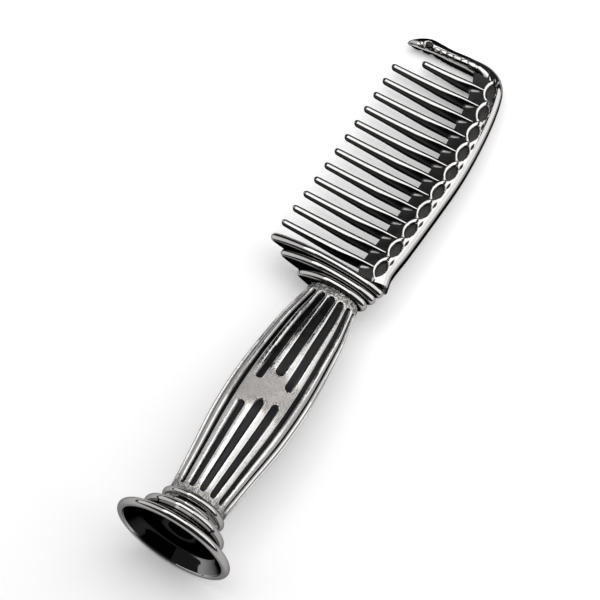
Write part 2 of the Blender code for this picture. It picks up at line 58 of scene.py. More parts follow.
comb_turn = Matrix((comb_axis, across_axis, comb_axis.cross(across_axis))).transposed().to_4x4()
comb_place = Matrix.Translation(rim_middle) @ comb_turn


def own_box(node):
    # Lowest and highest corner of a CAD node, measured along the comb's own axis
    stand_up = comb_place.inverted()
    points = [stand_up @ vertex.co for vertex in frame["nodes"][node].data.vertices]
    low = Vector([min(point[axis] for point in points) for axis in range(3)])
    high = Vector([max(point[axis] for point in points) for axis in range(3)])
    return low, high


# Polished black nickel
# The cast pieces are buffed and plated black: a dark mirror with faint clouding and a fine grain. A black,
# duller skin lies on top: patina in the handle's channels and the chain's nicks, and painted shade where the
# plates, the bar's walls, the web and the teeth show dark reflections. A light, rougher skin is a painted
# highlight on edges and thin lines.
NICKEL_COLOUR = (0.374, 0.368, 0.366)
NICKEL_CLOUD_COLOUR = (0.350, 0.341, 0.336)
WARM_COLOUR = (0.376, 0.362, 0.350)
# Nearly black: patina in the channels and nicks, and painted shade where the metal shows dark reflections
PATINA_AND_PAINTED_SHADE_COLOUR = (0.016, 0.016, 0.017)
# Light grey: painted highlight on edges and thin lines
PAINTED_HIGHLIGHT_COLOUR = (0.70, 0.69, 0.68)
EDGE_GLINT = (0.38, 0.38, 0.38)
PATINA_AND_PAINTED_SHADE_GLINT = (0.05, 0.05, 0.05)
MIRROR_ROUGHNESS = 0.05
ROUGHNESS_SPREAD = 0.05
PATINA_AND_PAINTED_SHADE_ROUGHNESS = 0.34
PAINTED_HIGHLIGHT_ROUGHNESS = 0.42
CLOUD_SCALE = 160.0
CLOUD_DETAIL = 3.0
CLOUD_RANGE = (0.35, 0.75)
GRAIN_SCALE = 2300.0
GRAIN_DETAIL = 4.0
GRAIN_PATCH_SCALE = 260.0
GRAIN_PATCH_RANGE = (0.42, 0.58)
SMOOTH_PATCH_SHARE = 0.35
GRAIN_HEIGHT = 0.0002
FAINT_GRAIN = 0.04


def new_finish(name):
    # An empty finish, with its nodes and its shader
    finish = bpy.data.materials.new(name)
    finish.use_nodes = True
    return finish, finish.node_tree, finish.node_tree.nodes["Principled BSDF"]


def plug(tree, node, values):
    # Sets a node's sockets: links another node's output, or puts in a plain number or colour
    for socket, value in values.items():
        if isinstance(value, bpy.types.NodeSocket):
            tree.links.new(value, node.inputs[socket])
        else:
            node.inputs[socket].default_value = (*value, 1.0) if isinstance(value, tuple) else value


def mottling(tree, scale, detail=2.0):
    # Uneven clouds that stay fixed to the piece
    where = tree.nodes.new("ShaderNodeTexCoord")
    clouds = tree.nodes.new("ShaderNodeTexNoise")
    plug(tree, clouds, {"Vector": where.outputs["Object"], "Scale": scale, "Detail": detail})
    return clouds.outputs["Fac"]


def skin_share(tree, skin):
    # How much of a skin the piece's points carry: coarse skin, black patina and painted shade, painted
    # highlight
    attribute = tree.nodes.new("ShaderNodeAttribute")
    attribute.attribute_name = skin
    return attribute.outputs["Fac"]


def blended(tree, share, under, over):
    # Lays one colour or number over another by a share
    mix = tree.nodes.new("ShaderNodeMix")
    mix.data_type = "RGBA" if isinstance(over, tuple) else "FLOAT"
    plug(tree, mix, {"Factor": share, "A": under, "B": over})
    return mix.outputs["Result"]


def spread(tree, value, low, high, to_low, to_high):
    # Stretches a value from one range to another
    stretch = tree.nodes.new("ShaderNodeMapRange")
    plug(tree, stretch, {"Value": value, "From Min": low, "From Max": high,
                         "To Min": to_low, "To Max": to_high})
    return stretch.outputs["Result"]


def reckoned(tree, operation, first, second):
    # Sum, product or maximum of two values
    step = tree.nodes.new("ShaderNodeMath")
    step.operation = operation
    plug(tree, step, {0: first, 1: second})
    return step.outputs["Value"]


def roughen(tree, shader, height, strength, distance):
    # Gives a shader a fine relief
    relief = tree.nodes.new("ShaderNodeBump")
    plug(tree, relief, {"Height": height, "Strength": strength, "Distance": distance})
    plug(tree, shader, {"Normal": relief.outputs["Normal"]})


def nickel_finish(name, grain_strength, polish=MIRROR_ROUGHNESS, blackened=False,
                  colour=None, glint=EDGE_GLINT):
    # Clouded nickel with its three skins, or one even colour: the black skin is patina and painted shade, and
    # the light one a painted highlight. The glint is how bright a slanting look is; blackened dims it under
    # the patina and painted shade.
    finish, tree, shader = new_finish(name)
    clouds = mottling(tree, CLOUD_SCALE, CLOUD_DETAIL)
    coarse, recess, rubbed = [skin_share(tree, skin) for skin in ("coarse", "recess", "rubbed")]
    # Patina and painted shade, and the painted highlight, are laid over the clouded colour
    if colour is None:
        colour = blended(tree, clouds, NICKEL_CLOUD_COLOUR, NICKEL_COLOUR)
        for share, skin_colour in ((coarse, WARM_COLOUR), (recess, PATINA_AND_PAINTED_SHADE_COLOUR), (rubbed, PAINTED_HIGHLIGHT_COLOUR)):
            colour = blended(tree, share, colour, skin_colour)
    if blackened:
        glint = blended(tree, recess, glint, PATINA_AND_PAINTED_SHADE_GLINT)
    roughness = spread(tree, clouds, *CLOUD_RANGE, polish, polish + ROUGHNESS_SPREAD)
    for share, skin_roughness in ((recess, PATINA_AND_PAINTED_SHADE_ROUGHNESS), (rubbed, PAINTED_HIGHLIGHT_ROUGHNESS)):
        roughness = blended(tree, share, roughness, skin_roughness)
    plug(tree, shader, {"Metallic": 1.0, "Base Color": colour, "Specular Tint": glint,
                        "Roughness": roughness})
    patches = spread(tree, mottling(tree, GRAIN_PATCH_SCALE), *GRAIN_PATCH_RANGE, SMOOTH_PATCH_SHARE, 1.0)
    bite = reckoned(tree, "ADD", patches, coarse)
    grain = reckoned(tree, "MULTIPLY", mottling(tree, GRAIN_SCALE, GRAIN_DETAIL), bite)
    roughen(tree, shader, grain, grain_strength, GRAIN_HEIGHT)
    return finish


mirror_nickel = nickel_finish("mirror_nickel", FAINT_GRAIN)


# Bell foot
# Turned from one casting: a rolled lip, a flare up to the shoulder, a stem that carries both rings,
# and a bell-shaped hollow with a pocket for the nut. The hollow's inner faces are painted with shade: dark
# grey, and black deep down and on the side towards the tooth tips.
LIP_ROLL = 0.00125
LIP_END_ANGLE = 32
LIP_STEPS = 22
FLARE_STEPS = 16
BELL_STEPS = 40
MOUTH_EDGE_ROLL = 0.0004
MOUTH_EDGE_STEPS = 6
FOOT_FACE_WIDTH = 0.0013
SHOULDER_RADIUS = 0.0122
SPIGOT_RADIUS = 0.0096
STEM_RADIUS = 0.0070
BOSS_RADIUS = 0.0052
POCKET_RADIUS = 0.0056
POCKET_MOUTH = 0.0072
FOOT_TURN_STEPS = 180
SEAT_GAP = 0.0003
# Painted shade inside the hollow: dark grey, and black deep down and on one side, with a dim glint
HOLLOW_PAINTED_SHADE_COLOUR = (0.22, 0.217, 0.215)
DEEP_HOLLOW_PAINTED_SHADE_COLOUR = (0.015, 0.015, 0.015)
HOLLOW_GLINT = (0.06, 0.06, 0.06)
HOLLOW_EDGE = 0.0006
DEEP_HOLLOW_SHARE = 0.29
BLACK_SIDE_SHARE = 0.05
MERGE_REACH = 0.000004
SMOOTH_ANGLE = math.radians(38)
foot_flare_shares = [(0.0, 0.0), (0.22, 0.30), (0.48, 0.66), (0.75, 0.90), (1.0, 1.0)]
foot_bell_shares = [(0.0, 0.0), (0.26, 0.155), (0.52, 0.31), (0.58, 0.43), (0.61, 0.60), (0.64, 0.74),
                    (0.72, 0.85), (0.86, 0.94), (1.0, 1.0)]


def smooth_value(table, place):
    # Cubic through the table's points, with slopes taken from their neighbours
    places = [row[0] for row in table]
    values = [row[1] for row in table]
    if place <= places[0]:
        return values[0]
    if place >= places[-1]:
        return values[-1]
    index = max(i for i in range(len(places) - 1) if places[i] <= place)
    slopes = []
    for i in (index, index + 1):
        low, high = max(i - 1, 0), min(i + 1, len(places) - 1)
        slopes.append((values[high] - values[low]) / (places[high] - places[low]))
    step = places[index + 1] - places[index]
    t = (place - places[index]) / step
    start_part = (1 + 2 * t) * (1 - t) ** 2 * values[index] + t * (1 - t) ** 2 * step * slopes[0]
    end_part = t * t * (3 - 2 * t) * values[index + 1] - t * t * (1 - t) * step * slopes[1]
    return start_part + end_part


def arc(centre_x, centre_radius, roll, first_angle, last_angle, steps):
    # Points of an arc in the (x, radius) plane; angle 0 points along +X and 90 degrees outwards
    points = []
    for i in range(steps + 1):
        turn = math.radians(first_angle + (last_angle - first_angle) * i / steps)
        points.append((centre_x + roll * math.cos(turn), centre_radius + roll * math.sin(turn)))
    return points


def swept(table, share, start, end):
    # Point at a share of the way from start to end, whose radius follows the table
    inward = smooth_value(table, share)
    return start[0] + share * (end[0] - start[0]), start[1] - inward * (start[1] - end[1])


def lay_piece(piece, name, finish):
    # Names a piece shaped in the comb's own frame, lays it down and fixes it to the comb
    piece.name = name
    piece.data.name = name
    bpy.ops.object.mode_set(mode="EDIT")
    bpy.ops.mesh.select_all(action="SELECT")
    bpy.ops.mesh.remove_doubles(threshold=MERGE_REACH)
    bpy.ops.mesh.normals_make_consistent(inside=False)
    bpy.ops.object.mode_set(mode="OBJECT")
    piece.matrix_world = comb_place
    bpy.ops.object.transform_apply(location=True, rotation=True, scale=True)
    bpy.ops.object.shade_smooth_by_angle(angle=SMOOTH_ANGLE)
    piece.data.materials.clear()
    piece.data.materials.append(finish)
    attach(piece, "root")
    return piece


def turned_piece(name, outline, steps):
    # Spins a closed outline of (x, radius) points round the comb's axis
    bpy.ops.object.select_all(action="DESELECT")
    bpy.ops.mesh.primitive_circle_add(vertices=len(outline))
    piece = bpy.context.object
    for vertex, (x, radius) in zip(piece.data.vertices, outline):
        vertex.co = (x, 0.0, radius)
    bpy.ops.object.mode_set(mode="EDIT")
    bpy.ops.mesh.select_all(action="SELECT")
    bpy.ops.mesh.spin(steps=steps, angle=math.tau, center=(0.0, 0.0, 0.0), axis=(1.0, 0.0, 0.0))
    bpy.ops.object.mode_set(mode="OBJECT")
    return lay_piece(piece, name, mirror_nickel)


foot_high = own_box("bell_foot")[1]
lower_low, lower_high = own_box("lower_ring")
collar_low, collar_high = own_box("collar_ring")
foot_radius = foot_high.z
foot_height = lower_low.x - SEAT_GAP
pocket_floor = own_box("clamp_washer")[1].x + SEAT_GAP
rod_hole_radius = own_box("tie_rod")[1].y + SEAT_GAP
mouth_radius = foot_radius - LIP_ROLL - FOOT_FACE_WIDTH + MOUTH_EDGE_ROLL

foot_outline = arc(LIP_ROLL, foot_radius - LIP_ROLL, LIP_ROLL, 180, LIP_END_ANGLE, LIP_STEPS)
lip_end, shoulder = foot_outline[-1], (foot_height, SHOULDER_RADIUS)
for i in range(1, FLARE_STEPS + 1):
    foot_outline.append(swept(foot_flare_shares, i / FLARE_STEPS, lip_end, shoulder))
foot_outline += [
    (foot_height, SPIGOT_RADIUS),
    (lower_high.x, SPIGOT_RADIUS),
    (lower_high.x, STEM_RADIUS),
    (collar_high.x, STEM_RADIUS),
    (collar_high.x, BOSS_RADIUS),
    (foot_high.x, BOSS_RADIUS),
    (foot_high.x, rod_hole_radius),
    (pocket_floor, rod_hole_radius),
    (pocket_floor, POCKET_RADIUS),
]
mouth, pocket = (MOUTH_EDGE_ROLL, mouth_radius), (POCKET_MOUTH, POCKET_RADIUS)
for i in range(BELL_STEPS):
    foot_outline.append(swept(foot_bell_shares, 1 - i / BELL_STEPS, mouth, pocket))
foot_outline += arc(MOUTH_EDGE_ROLL, mouth_radius + MOUTH_EDGE_ROLL, MOUTH_EDGE_ROLL, 270, 181,
                    MOUTH_EDGE_STEPS)
bell_foot = turned_piece("bell_foot_turned", foot_outline, FOOT_TURN_STEPS)
for hollow_name, hollow_colour in (("hollow_painted_shade", HOLLOW_PAINTED_SHADE_COLOUR), ("deep_hollow_painted_shade", DEEP_HOLLOW_PAINTED_SHADE_COLOUR)):
    hollow_finish = nickel_finish(hollow_name, FAINT_GRAIN, colour=hollow_colour, glint=HOLLOW_GLINT)
    bell_foot.data.materials.append(hollow_finish)
deep_radius = mouth_radius - DEEP_HOLLOW_SHARE * (mouth_radius - POCKET_RADIUS)
stand_up = comb_place.inverted()
# Paints shade on the hollow's inner faces: black deep down and towards the tooth tips, dark grey elsewhere
for face in bell_foot.data.polygons:
    middle = stand_up @ face.center
    radius = math.hypot(middle.y, middle.z)
    facing_in = (stand_up.to_3x3() @ face.normal).dot(Vector((0.0, middle.y, middle.z))) < 0
    if facing_in and middle.x > HOLLOW_EDGE and radius < mouth_radius:
        black = radius < deep_radius or middle.y > BLACK_SIDE_SHARE * radius
        face.material_index = 2 if black else 1
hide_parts("bell_foot")


# Mouldings under the handle
# Two loose polished rings that the rod clamps between foot and handle: a plain half-round ring, and a
# collar with a hollow moulding under its own half-round bead.
RING_TURN_STEPS = 160
BEAD_STEPS = 18
COLLAR_BEAD = 0.0024
COLLAR_HOLLOW_DEPTH = 0.0007
COLLAR_HOLLOW_STEPS = 14
lower_bore = SPIGOT_RADIUS + SEAT_GAP
collar_bore = STEM_RADIUS + SEAT_GAP

lower_half = (lower_high.x - lower_low.x) / 2
lower_outline = arc(lower_low.x + lower_half, lower_high.z - lower_half, lower_half, 180, 0, BEAD_STEPS)
lower_outline += [(lower_high.x, lower_bore), (lower_low.x, lower_bore)]
lower_ring = turned_piece("lower_ring_turned", lower_outline, RING_TURN_STEPS)
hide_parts("lower_ring")

collar_half = COLLAR_BEAD / 2
collar_lip = collar_high.z - collar_half
hollow_height = collar_high.x - COLLAR_BEAD - collar_low.x
collar_outline = []
for i in range(COLLAR_HOLLOW_STEPS):
    share = i / COLLAR_HOLLOW_STEPS
    dip = COLLAR_HOLLOW_DEPTH * math.sin(share * math.pi)
    collar_outline.append((collar_low.x + share * hollow_height, collar_lip - dip))
collar_outline += arc(collar_high.x - collar_half, collar_lip, collar_half, 180, 0, BEAD_STEPS)
collar_outline += [(collar_high.x, collar_bore), (collar_low.x, collar_bore)]
collar_ring = turned_piece("collar_ring_turned", collar_outline, RING_TURN_STEPS)
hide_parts("collar_ring")


# Fluted handle
# A hollow casting with a swelling belly. Sixteen round-ended channels are sunk between flat ribs, and
# the three in front stop short of a bare band. The channels keep their blackened casting skin, and the
# ribs' edges beside them carry a painted highlight.
FLUTE_COUNT = 16
FLUTE_TURN = math.radians(-5)
FLUTE_DEPTH = 0.00085
FLUTE_WALL = 0.00030
CREST_ROUNDING = 0.00014
CREST_REACH = 0.0007
# Painted highlight line along the ribs' edges beside each channel
EDGE_PAINTED_HIGHLIGHT_WIDTH = 0.00022
EDGE_PAINTED_HIGHLIGHT_SHARE = 0.75
COARSE_SKIN = 4.0
COARSE_REACH = 0.0050
BAND_SKIN = 3.6
BAND_MIDDLE = 0.475
BAND_SHARPNESS = 20
BAND_SIDE_FADE = (-0.6, -2)
SPECK_SCALE = 1500.0
SPECK_CONTRAST = 2.2
SPECK_SHARE = 0.85
CAST_GRAIN = 0.6
CAST_ROUGHNESS = 0.08
FLUTE_FOOT_MARGIN = 0.0016
FLUTE_NECK_MARGIN = 0.0026
HANDLE_HALF_WIDTH = 0.0126
HANDLE_HALF_DEPTH = 0.0106
HANDLE_BORE_RADIUS = 0.0055
NECK_BORE_RADIUS = 0.0028
NECK_BORE_LENGTH = 0.0130
HANDLE_ROWS = 260
POINTS_PER_FLUTE = 22
flute_width_shares = [(0.0, 0.275), (0.2, 0.285), (0.5, 0.29), (0.7, 0.315), (0.85, 0.345), (1.0, 0.385)]
handle_width_shares = [(0.0, 0.713), (0.18, 0.84), (0.345, 0.963), (0.50, 1.0), (0.635, 0.967), (0.82, 0.86),
                       (0.90, 0.77), (1.0, 0.648)]
handle_depth_shares = [(0.0, 0.81), (0.18, 0.887), (0.345, 0.972), (0.50, 1.0), (0.70, 0.90), (0.85, 0.71),
                       (1.0, 0.44)]
bare_band_shares = {1: (0.398, 0.504), 0: (0.436, 0.549), -1: (0.449, 0.514)}

handle_low, handle_high = own_box("handle_column")
handle_length = handle_high.x - handle_low.x
cast_nickel = nickel_finish("cast_nickel", CAST_GRAIN, CAST_ROUGHNESS, blackened=True)


def eased(share):
    # Soft step from 0 to 1
    share = max(0.0, min(1.0, share))
    return share * share * (3 - 2 * share)


def faded(value, start, slope):
    # Soft step down from 1 to 0 as the value grows, from its start and with its slope
    return eased(start - slope * value)


def channel_parts(number):
    # Stretches of one flute along the handle, as (start, end) from the foot end
    signed = number if number <= FLUTE_COUNT // 2 else number - FLUTE_COUNT
    start, end = FLUTE_FOOT_MARGIN, handle_length - FLUTE_NECK_MARGIN
    if signed not in bare_band_shares:
        return [(start, end)]
    stop, resume = bare_band_shares[signed]
    return [(start, stop * handle_length), (resume * handle_length, end)]


def channel_cut(number, along, across, half_width):
    # How deep the surface is cut, how black it is and how much painted highlight it has: round-ended channels
    # with short steep walls, between ribs whose edges are rounded over and carry a painted highlight line
    inside = -CREST_REACH
    for start, end in channel_parts(number):
        beyond = max(start + half_width - along, along - (end - half_width), 0.0)
        inside = max(inside, half_width - math.hypot(beyond, across))
    if inside > 0:
        blackness = eased(inside / FLUTE_WALL)
        return CREST_ROUNDING + (FLUTE_DEPTH - CREST_ROUNDING) * blackness, blackness, 0.0
    rubbed = EDGE_PAINTED_HIGHLIGHT_SHARE * (1 - eased(-inside / EDGE_PAINTED_HIGHLIGHT_WIDTH - 0.5))
    return CREST_ROUNDING * (1 + inside / CREST_REACH) ** 2, 0.0, rubbed


def handle_point(along, number, within):
    # A point of the skin, with how black, how coarse and how much painted highlight it has there. The skin is
    # coarse and speckled at both ends, and coarse on the bare band.
    share = along / handle_length
    half_width = HANDLE_HALF_WIDTH * smooth_value(handle_width_shares, share)
    half_depth = HANDLE_HALF_DEPTH * smooth_value(handle_depth_shares, share)
    turn = FLUTE_TURN + math.tau * (number + within) / FLUTE_COUNT
    pitch = math.tau / FLUTE_COUNT * math.hypot(half_width * math.cos(turn), half_depth * math.sin(turn))
    flute_half_width = smooth_value(flute_width_shares, share) * pitch
    cut, blackness, rubbed = channel_cut(number, along, within * pitch, flute_half_width)
    spot = Vector((handle_low.x + along,
                   (half_width - cut) * math.sin(turn),
                   (half_depth - cut) * math.cos(turn)))
    from_end = min((along - FLUTE_FOOT_MARGIN) / 2, handle_length - FLUTE_NECK_MARGIN - along)
    skin = 1 - eased(from_end / COARSE_REACH + 0.5)
    coarse = COARSE_SKIN * skin
    blackness = max(blackness, SPECK_SHARE * skin * eased(0.5 + SPECK_CONTRAST * noise.noise(spot * SPECK_SCALE)))
    off_band = eased(BAND_SHARPNESS * abs(share - BAND_MIDDLE) - 1)
    coarse += BAND_SKIN * (1 - off_band) * faded(math.cos(turn), *BAND_SIDE_FADE)
    return spot, blackness, coarse, rubbed


def wrapped_piece(name, rings, finish, slot_name="gunmetal", **skins):
    # Bends a sheet of rows and columns round, so that each row is one closed ring of points
    columns, rows = len(rings[0]), len(rings) - 1
    bpy.ops.object.select_all(action="DESELECT")
    bpy.ops.mesh.primitive_grid_add(x_subdivisions=columns, y_subdivisions=rows, size=1.0)
    sheet = bpy.context.object
    places = [(row, column % columns) for row in range(rows + 1) for column in range(columns + 1)]
    for vertex, (row, column) in zip(sheet.data.vertices, places):
        vertex.co = rings[row][column]
    for skin, values in skins.items():
        layer = sheet.data.attributes.new(skin, "FLOAT", "POINT")
        for point, (row, column) in zip(layer.data, places):
            point.value = values[row][column]
    return lay_piece(sheet, name, finish)


def round_ring(x, radius, columns, turn):
    turns = [turn + math.tau * i / columns for i in range(columns)]
    return [Vector((x, radius * math.sin(t), radius * math.cos(t))) for t in turns]


handle_rings, handle_recess, handle_coarse, handle_rubbed = [], [], [], []
for row in range(HANDLE_ROWS + 1):
    along = handle_length * row / HANDLE_ROWS
    points = [handle_point(along, number, (i + 0.5) / POINTS_PER_FLUTE - 0.5)
              for number in range(FLUTE_COUNT) for i in range(POINTS_PER_FLUTE)]
    for rows, values in zip((handle_rings, handle_recess, handle_coarse, handle_rubbed), zip(*points)):
        rows.append(values)
columns = FLUTE_COUNT * POINTS_PER_FLUTE
first_turn = FLUTE_TURN + math.tau * (0.5 / POINTS_PER_FLUTE - 0.5) / FLUTE_COUNT
wide_end = handle_high.x - NECK_BORE_LENGTH
handle_rings += [
    round_ring(handle_high.x, NECK_BORE_RADIUS, columns, first_turn),
    round_ring(wide_end, NECK_BORE_RADIUS, columns, first_turn),
    round_ring(wide_end - HANDLE_BORE_RADIUS, HANDLE_BORE_RADIUS, columns, first_turn),
    round_ring(handle_low.x, HANDLE_BORE_RADIUS, columns, first_turn),
    handle_rings[0],
]
for rows in (handle_recess, handle_coarse, handle_rubbed):
    rows += [[0.0] * columns] * (len(handle_rings) - len(rows))
handle = wrapped_piece("handle_fluted", handle_rings, cast_nickel,
                       recess=handle_recess, coarse=handle_coarse, rubbed=handle_rubbed)
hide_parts("handle_column")


# Stepped capital
# Two loose boat-shaped plates threaded on the head's tang, and the head's own largest plate above
# them. Their round edges are polished, and their flat faces are painted black: painted shade where they
# show dark reflections.
PLATE_COLUMNS = 200
PLATE_EDGE_STEPS = 16
PLATE_SQUARENESS = 2.1
PLATE_POINT = 0.50
PLATE_POINT_POWER = 2.2
PLATE_BLACK_ROWS = 3
TANG_HOLE_RADIUS = 0.0028
LARGE_PLATE_THICKNESS = 0.0028
LARGE_PLATE_SPINE_REACH = 0.0121
LARGE_PLATE_TOOTH_REACH = 0.0267
LARGE_PLATE_HALF_DEPTH = 0.0047


def superellipse(half_width, half_depth, power, steps):
    # Points round an oval that is the squarer, the higher the power
    points = []
    for i in range(steps):
        turn = math.tau * i / steps
        side, rise = math.cos(turn), math.sin(turn)
        points.append((math.copysign(abs(side) ** (2 / power), side) * half_width,
                       math.copysign(abs(rise) ** (2 / power), rise) * half_depth))
    return points


def plate_edge(low, high):
    # Rings round the half-round edge of a plate that fills the box from low to high
    half = (high.x - low.x) / 2
    middle_y = (low.y + high.y) / 2
    rings = []
    for i in range(PLATE_EDGE_STEPS + 1):
        turn = math.pi * (i / PLATE_EDGE_STEPS - 0.5)
        inset = half * (1 - math.cos(turn))
        x = low.x + half + half * math.sin(turn)
        half_width, half_depth = (high.y - low.y) / 2 - inset, high.z - inset
        ring = []
        for across, up in superellipse(half_width, half_depth, PLATE_SQUARENESS, PLATE_COLUMNS):
            slimming = 1 - PLATE_POINT * max(0.0, across / half_width) ** PLATE_POINT_POWER
            ring.append(Vector((x, middle_y + across, up * slimming)))
        rings.append(ring)
    return rings


def centre_ring(x, radius):
    # Column 0 of a plate's rings lies on +Y, and they run towards +Z
    turns = [math.tau * i / PLATE_COLUMNS for i in range(PLATE_COLUMNS)]
    return [Vector((x, radius * math.cos(t), radius * math.sin(t))) for t in turns]


# The plates, the bar and the teeth carry painted shade and painted highlights
painted_shade_nickel = nickel_finish("painted_shade_nickel", FAINT_GRAIN, blackened=True)
# Painted shade: black on the flat faces, fading out over the first rows of the round edge
edge_black = [1.0 - eased(i / PLATE_BLACK_ROWS) for i in range(PLATE_EDGE_STEPS + 1)]
edge_black = [max(before, after) for before, after in zip(edge_black, reversed(edge_black))]
plate_black = [[value] * PLATE_COLUMNS for value in [1.0] + edge_black + [1.0]]
for node in ("capital_plate_small", "capital_plate_middle"):
    low, high = own_box(node)
    rings = [centre_ring(low.x, TANG_HOLE_RADIUS)] + plate_edge(low, high)
    rings += [centre_ring(high.x, TANG_HOLE_RADIUS), centre_ring(low.x, TANG_HOLE_RADIUS)]
    plate = wrapped_piece(node + "_rounded", rings, painted_shade_nickel, recess=plate_black + plate_black[:1])
    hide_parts(node)

flange_start = own_box("capital_plate_middle")[1].x + SEAT_GAP
flange_low = Vector((flange_start, -LARGE_PLATE_SPINE_REACH, -LARGE_PLATE_HALF_DEPTH))
flange_high = Vector((flange_low.x + LARGE_PLATE_THICKNESS, LARGE_PLATE_TOOTH_REACH, LARGE_PLATE_HALF_DEPTH))
rings = [centre_ring(flange_low.x, 0.0)] + plate_edge(flange_low, flange_high)
rings.append(centre_ring(flange_high.x, 0.0))
flange = wrapped_piece("head_flange", rings, painted_shade_nickel, recess=plate_black)
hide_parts("comb_head")


# Spine and guard of the comb head
# One cast bar: it follows the bowed back of the comb, turns the corner and runs along the teeth as a
# guard that ends in a beak. Both faces carry the chain of bezels, leaf-shaped nicks and the eye. Its outer
# wall and the guard carry painted shade, and the guard a painted highlight line.
SPINE_BOW = 0.0136
SPINE_WIDTH = 0.0063
SPINE_HALF_DEPTH = 0.0034
SPINE_SQUARENESS = 3.0
SPINE_END_SQUARENESS = 3.4
GUARD_WIDTH = 0.0036
GUARD_HALF_DEPTH = 0.0029
GUARD_SQUARENESS = 3.0
GUARD_INNER_SQUARENESS = 2.4
GUARD_SLOPE = 0.10
GUARD_REACH = 0.0258
GUARD_X = 0.1843
CORNER_RISE = 0.0016
SPINE_ROWS = 330
CORNER_ROWS = 30
GUARD_ROWS = 100
FACE_POINTS = 48
FACE_REACH_SHARE = 0.985
WALL_POINTS = 9
LENS_COUNT = 10
CELL_HALF_LENGTH = 0.0031
CELL_HALF_WIDTH = 0.0015
CELL_REACH = 0.007
BEZEL_WIDTH = 0.00115
BEZEL_OUTER_WIDTH = 0.00015
BEZEL_START_SHARE = 0.72
BEZEL_GROWTH = 0.46
BEZEL_TIP_SHARE = 1.2
BEZEL_FLATNESS = 6
BEZEL_LOW = 0.00005
BEZEL_HIGH = 0.00060
BEZEL_SHIFT = 0.0003
POCKET_DEPTH = 0.00075
POCKET_WALL = 0.00015
NICK_HALF_LENGTH = 0.0015
NICK_HALF_WIDTH = 0.00048
NICK_MIDDLE_SHARE = 0.7
NICK_DEPTH = 0.00045
NICK_ASIDE = 0.0014
NICK_BACK = 0.00055
LEAF_HEIGHT = 0.00015
LEAF_EDGE = 0.00025
LEAF_TILT = 0.15
LEAF_DROP = 0.0008
EYE_HALF_LENGTH = 0.0012
EYE_HALF_WIDTH = 0.0009
EYE_RIM = 0.0004
EYE_DROP = 0.0003
EYE_REACH = 0.003
# Painted light on the bar: black bands and a highlight line on the guard's inner wall, shade on its underside
# and between its leaves, and shade on the bar's outer wall
GUARD_WALL_START = 0.9
GUARD_WALL_BLACK = 0.9
GUARD_GROOVE_LEVEL = 0.42
GUARD_GLEAM_LEVEL = 0.2
GUARD_UNDERSIDE_START = 0.5
GUARD_UNDERSIDE_BLACK = 0.95
GUARD_GROOVE_FADE = (2.2, 9)
GUARD_WALL_FADE = (3, 9)
GUARD_GLEAM_FADE = (2.2, 14)
GUARD_UNDERSIDE_SHARPNESS = 6
LEAVES_SIDE_FADE = (0.9, 6)
LEAVES_FOOT_FADE = (-1.2, -8)
OUTER_WALL_START = 0.85
OUTER_WALL_TOP_FADE = (4.8, 7)
OUTER_WALL_LOW_FADE = (4.7, -6)
spine_slope_shares = [(0.0, 0.0), (0.45, 0.02), (0.75, 0.10), (1.0, 0.22)]
spine_bow_shares = [(0.0, 0.93), (0.055, 0.865), (0.17, 0.915), (0.37, 0.975), (0.53, 1.0), (0.69, 0.94),
                    (0.82, 0.835), (0.91, 0.70), (1.0, 0.46)]
guard_width_shares = [(0.10, 1.10), (0.25, 1.0), (0.45, 0.96), (0.62, 1.06), (0.74, 1.18), (0.84, 1.0),
                      (0.92, 0.68), (0.98, 0.32), (1.0, 0.02)]
guard_depth_shares = [(0.10, 1.0), (0.25, 1.0), (0.45, 0.92), (0.62, 0.80), (0.74, 0.70), (0.84, 0.60),
                      (0.92, 0.46), (0.98, 0.26), (1.0, 0.02)]
guard_lean_shares = [(0.10, 0.03), (0.25, 0.0), (0.45, -0.09), (0.62, -0.06), (0.74, -0.09), (0.84, -0.31),
                     (0.92, -0.54), (0.98, -0.78), (1.0, -0.86)]
# Each leaf's place up the guard and to the outside, its half-length and its half-width
guard_leaf_shares = [(0.14, 0.27, 0.085, 0.22), (0.235, 0.36, 0.070, 0.28), (0.33, 0.30, 0.090, 0.21),
                     (0.42, 0.32, 0.085, 0.20), (0.51, 0.30, 0.085, 0.19), (0.60, 0.32, 0.075, 0.17),
                     (0.90, 0.18, 0.080, 0.22)]

head_start = flange_high.x
head_length = GUARD_X + GUARD_WIDTH / 2 - head_start
eye_low, eye_high = own_box("eye_inlay_front")
eye_middle = (eye_low + eye_high) / 2
chain_cells = []
for number in range(1, LENS_COUNT + 1):
    low, high = own_box(f"chain_inlay_front_{number:02d}")
    chain_cells.append((low + high) / 2)


def directions(points):
    # Unit direction along a row of points at each of them, taken from its neighbours
    last = len(points) - 1
    steps = [points[min(i + 1, last)] - points[max(i - 1, 0)] for i in range(last + 1)]
    return [step.xy.normalized() for step in steps]


cell_turns = directions(chain_cells)


def spine_outer_y(x):
    # The comb's bowed back
    return -SPINE_BOW * smooth_value(spine_bow_shares, (x - head_start) / head_length)


